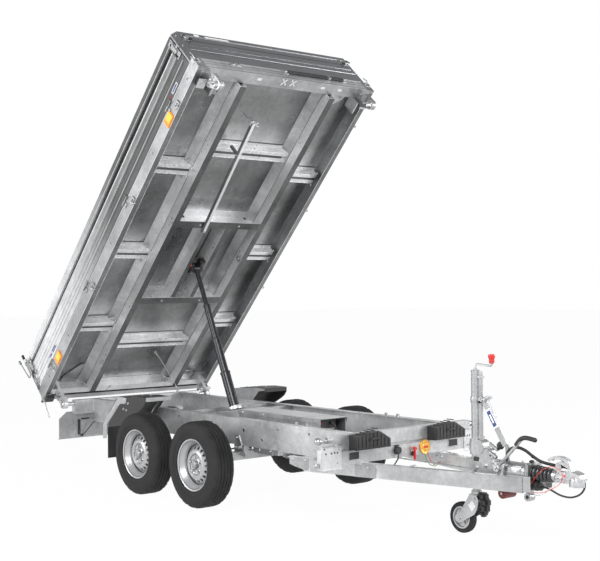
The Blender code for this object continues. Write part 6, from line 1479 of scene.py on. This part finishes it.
red.block((start + 0.088, start + 0.106), (-0.0325, -0.0305), (0.47, 0.482), 0.001)
bright.show("coupling_castings", ZINC_BRIGHT, "chassis", 0.0014, 40)
red.show("coupling_wear_mark", RED, "chassis")
turn = facing_front(2.8936, -0.03, 0.39)
dark.lathe([(0.0, 0.0), (0.03, 0.0), (0.03, 0.006), (0.0262, 0.009), (0.0262, 0.034), (0.029, 0.036),
            (0.029, 0.046), (0.0255, 0.049), (0.0245, 0.072), (0.017, 0.0745), (0.0, 0.0745)], 36, turn)
dark.block((2.896, 2.936), (-0.012, 0.0), (0.414, 0.424), 0.003)
dark.show("park_socket_and_grip", PLASTIC, "chassis", 0.0006)
zinc_kit.block((2.885, 2.8932), (-0.064, 0.004), (0.356, 0.424), 0.002)
zinc_kit.tube(smooth_route([(2.89, -0.068, 0.356), (2.95, -0.07, 0.342), (3.0, -0.064, 0.352),
                            (3.06, -0.05, 0.4), (3.092, -0.033, 0.44)], 0.02), 0.0022, 8)
zinc_kit.show("park_socket_plate", ZINC_BRIGHT, "chassis")

# Jockey leg, fork and wheel
bright = Kit()
bright.rod((post, 0, 0.2735), (post, 0, 0.2905), 0.035, 32)
bright.rod((post, 0, 0.2905), (post, 0, 0.298), 0.029, 32)
bright.show("jockey_leg_flange", ZINC_BRIGHT, "jockey_leg", 0.001)
bright, dark, white = Kit(), Kit(), Kit()
hub = post - 0.118
for side in (1, -1):
    y = side * 0.0385
    strap = [(2.262, 0.113), (2.258, 0.094), (2.268, 0.078), (2.29, 0.071), (2.314, 0.076), (2.428, 0.142),
             (2.452, 0.18), (2.463, 0.232), (2.455, 0.258), (2.436, 0.27), (2.414, 0.262), (2.396, 0.226)]
    bright.along_y(strap, (y - side * 0.0005, y + side * 0.003))
    bright.bolt((hub, side * 0.0415, 0.103), (0, side, 0), 0.0135)
    bright.bolt((2.432, side * 0.0415, 0.244), (0, side, 0), 0.01)
    white.prism([(2.378, 0.196), (2.414, 0.234), (2.44, 0.198), (2.408, 0.158)], side * 0.0418,
                side * 0.0424, upright())
for low, high, z, tall in ((post + 0.03, post + 0.09, 0.262, 0.026),
                           (post + 0.05, post + 0.108, 0.226, 0.028),
                           (post + 0.046, post + 0.1, 0.186, 0.03),
                           (post + 0.036, post + 0.082, 0.15, 0.02)):
    dark.block((low, high), (-0.028, 0.028), (z - tall, z + tall), 0.012)
bright.show("jockey_fork_straps", ZINC_BRIGHT, "jockey_fork", 0.0008)
dark.show("jockey_fork_damper", BLACK, "jockey_fork", 0.0008)
white.show("jockey_fork_label", WHITE_LENS, "jockey_fork", slot="galvanised_steel")
turn = Matrix.Translation((hub, 0, 0.103)) @ Matrix.Rotation(-math.pi / 2, 4, "X")
tread, rim = Kit(HERE @ turn), Kit(HERE @ turn)
tread.lathe(mirrored([(0.0742, 0.0205), (0.08, 0.0222), (0.092, 0.0236), (0.0975, 0.0225), (0.1012, 0.018),
                      (0.1026, 0.011)], [(0.1029, 0.0)]), 56)
obj = tread.show("jockey_tyre_tread", TYRE_RUBBER, "jockey_wheel", 0, 45, slot="tyre")
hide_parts("jockey_tyre")
rim.lathe(mirrored([(0.0088, 0.022), (0.0205, 0.022), (0.0225, 0.019), (0.024, 0.008), (0.04, 0.006),
                    (0.0585, 0.008), (0.062, 0.018), (0.064, 0.0215), (0.0725, 0.022), (0.0737, 0.0205)]),
          48)
for way in (-1, 1):
    rim.block((0.022, 0.06), (-0.0025, 0.0025), (way * 0.0065, way * 0.015))
    for k in range(1, 6):
        inner, outer = [on_circle(radius, math.pi * k / 3, way * 0.009) for radius in (0.022, 0.06)]
        rim.rod(inner, outer, 0.0035, 8)
obj = rim.show("jockey_rim_spokes", SILVER, "jockey_wheel", 0, 40, slot="silver_paint")
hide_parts("jockey_rim")


# Free cords

BREAKAWAY_ROUTE = [
    (2.894, -0.06, 0.4), (2.915, -0.063, 0.41), (2.95, -0.066, 0.45), (3.0, -0.066, 0.5),
    (3.06, -0.062, 0.528), (3.11, -0.056, 0.52), (3.14, -0.05, 0.49), (3.13, -0.05, 0.44),
    (3.08, -0.056, 0.4), (3.01, -0.064, 0.366), (2.95, -0.066, 0.356), (2.894, -0.066, 0.362)]


def free_cord(name, route, radius, finish, node):
    points = [HERE @ p for p in smooth_route(route, 0.02)]
    curve = bpy.data.curves.new(name, "CURVE")
    curve.dimensions = "3D"
    curve.bevel_depth = radius
    curve.bevel_resolution = 3
    curve.use_fill_caps = True
    spline = curve.splines.new("POLY")
    spline.points.add(len(points) - 1)
    for point, at in zip(spline.points, points):
        point.co = (*at, 1)
    spline.use_smooth = True
    obj = bpy.data.objects.new(name, curve)
    bpy.context.scene.collection.objects.link(obj)
    curve.materials.append(finish)
    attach(obj, "chassis")
    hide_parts(node)


free_cord("towing_cable", CABLE_ROUTE, 0.006, PLASTIC, "electric_cable")
free_cord("breakaway_wire", BREAKAWAY_ROUTE, 0.002, RED, "breakaway_cable")


# Floor, lamps and camera

PAPER_SHARE = 0.965
FLOOR_REACH = 60
floor_mesh = bpy.data.meshes.new("floor")
corners = [(x * FLOOR_REACH, y * FLOOR_REACH, 0) for x, y in ((-1, -1), (1, -1), (1, 1), (-1, 1))]
floor_mesh.from_pydata(corners, [], [(0, 1, 2, 3)])
floor = bpy.data.objects.new("floor", floor_mesh)
bpy.context.scene.collection.objects.link(floor)
paper, tree, shader = shader_tree("pale_floor")
tone = ramp(tree, noise(tree, place(tree), 0.6, 2.0), [(0.3, 0.9), (0.7, 0.92)])
tree.links.new(tone, shader.inputs["Base Color"])
shader.inputs["Roughness"].default_value = 0.85
seen = add(tree, "ShaderNodeLightPath")
glow = add(tree, "ShaderNodeEmission", Color=(1, 1, 1, 1), Strength=1.0)
directly = seen.outputs["Is Camera Ray"]
for kind in ("Is Glossy Ray", "Is Transmission Ray"):
    either = add(tree, "ShaderNodeMath", operation="MAXIMUM")
    tree.links.new(directly, either.inputs[0])
    tree.links.new(seen.outputs[kind], either.inputs[1])
    directly = either.outputs[0]
share = add(tree, "ShaderNodeMath", operation="MULTIPLY")
tree.links.new(directly, share.inputs[0])
share.inputs[1].default_value = PAPER_SHARE
both = add(tree, "ShaderNodeMixShader")
tree.links.new(share.outputs[0], both.inputs[0])
tree.links.new(shader.outputs[0], both.inputs[1])
tree.links.new(glow.outputs[0], both.inputs[2])
tree.links.new(both.outputs[0], tree.nodes["Material Output"].inputs["Surface"])
floor_mesh.materials.append(paper)

world = bpy.data.worlds.new("studio")
bpy.context.scene.world = world
world.use_nodes = True
tree = world.node_tree
where = add(tree, "ShaderNodeTexCoord")
parts = add(tree, "ShaderNodeSeparateXYZ")
tree.links.new(where.outputs["Generated"], parts.inputs[0])
sky = ramp(tree, parts.outputs["Z"], [(0.0, 1.0), (0.27, 1.0), (0.45, 0.42), (1.0, 0.3)])
tree.links.new(sky, tree.nodes["Background"].inputs["Color"])
tree.nodes["Background"].inputs["Strength"].default_value = 1.0


def lamp(name, where, target, size, power):
    light = bpy.data.lights.new(name, "AREA")
    light.shape = "RECTANGLE"
    light.size, light.size_y = size
    light.energy = power
    obj = bpy.data.objects.new(name, light)
    bpy.context.scene.collection.objects.link(obj)
    obj.location = where
    obj.rotation_euler = (Vector(target) - Vector(where)).to_track_quat("-Z", "Y").to_euler()


lamp("key_lamp", (6.5, -5.5, 6.5), (0, 0, 1.0), (4.0, 4.0), 700)
lamp("fill_lamp", (5.0, 6.5, 3.0), (0.5, 0, 1.0), (4.0, 3.0), 350)
lamp("side_lamp", (-3.5, -7.0, 3.5), (-1.0, 0, 1.2), (3.0, 4.0), 260)

FOCAL_PIXELS, IMAGE_WIDTH, SENSOR_WIDTH = 1148.2, 600.0, 36.0
CAMERA_AT = Vector((7.4449 + SHIFT_X, -5.6937, 1.6247))
yaw, pitch, roll = 2.4453, 0.0067, -0.0088
forward = Vector((math.cos(pitch) * math.cos(yaw), math.cos(pitch) * math.sin(yaw), math.sin(pitch)))
right = Vector((math.sin(yaw), -math.cos(yaw), 0))
up = right.cross(forward)
right_rolled = math.cos(roll) * right + math.sin(roll) * up
up_rolled = -math.sin(roll) * right + math.cos(roll) * up
camera = bpy.data.cameras.new("photo_camera")
camera.lens = FOCAL_PIXELS * SENSOR_WIDTH / IMAGE_WIDTH
camera.sensor_width = SENSOR_WIDTH
camera.sensor_fit = "HORIZONTAL"
camera_obj = bpy.data.objects.new("photo_camera", camera)
bpy.context.scene.collection.objects.link(camera_obj)
turn = Matrix((right_rolled, up_rolled, -forward)).transposed()
camera_obj.matrix_world = Matrix.Translation(CAMERA_AT) @ turn.to_4x4()
bpy.context.scene.camera = camera_obj
bpy.context.scene.view_settings.view_transform = "Standard"

bpy.context.view_layer.update()
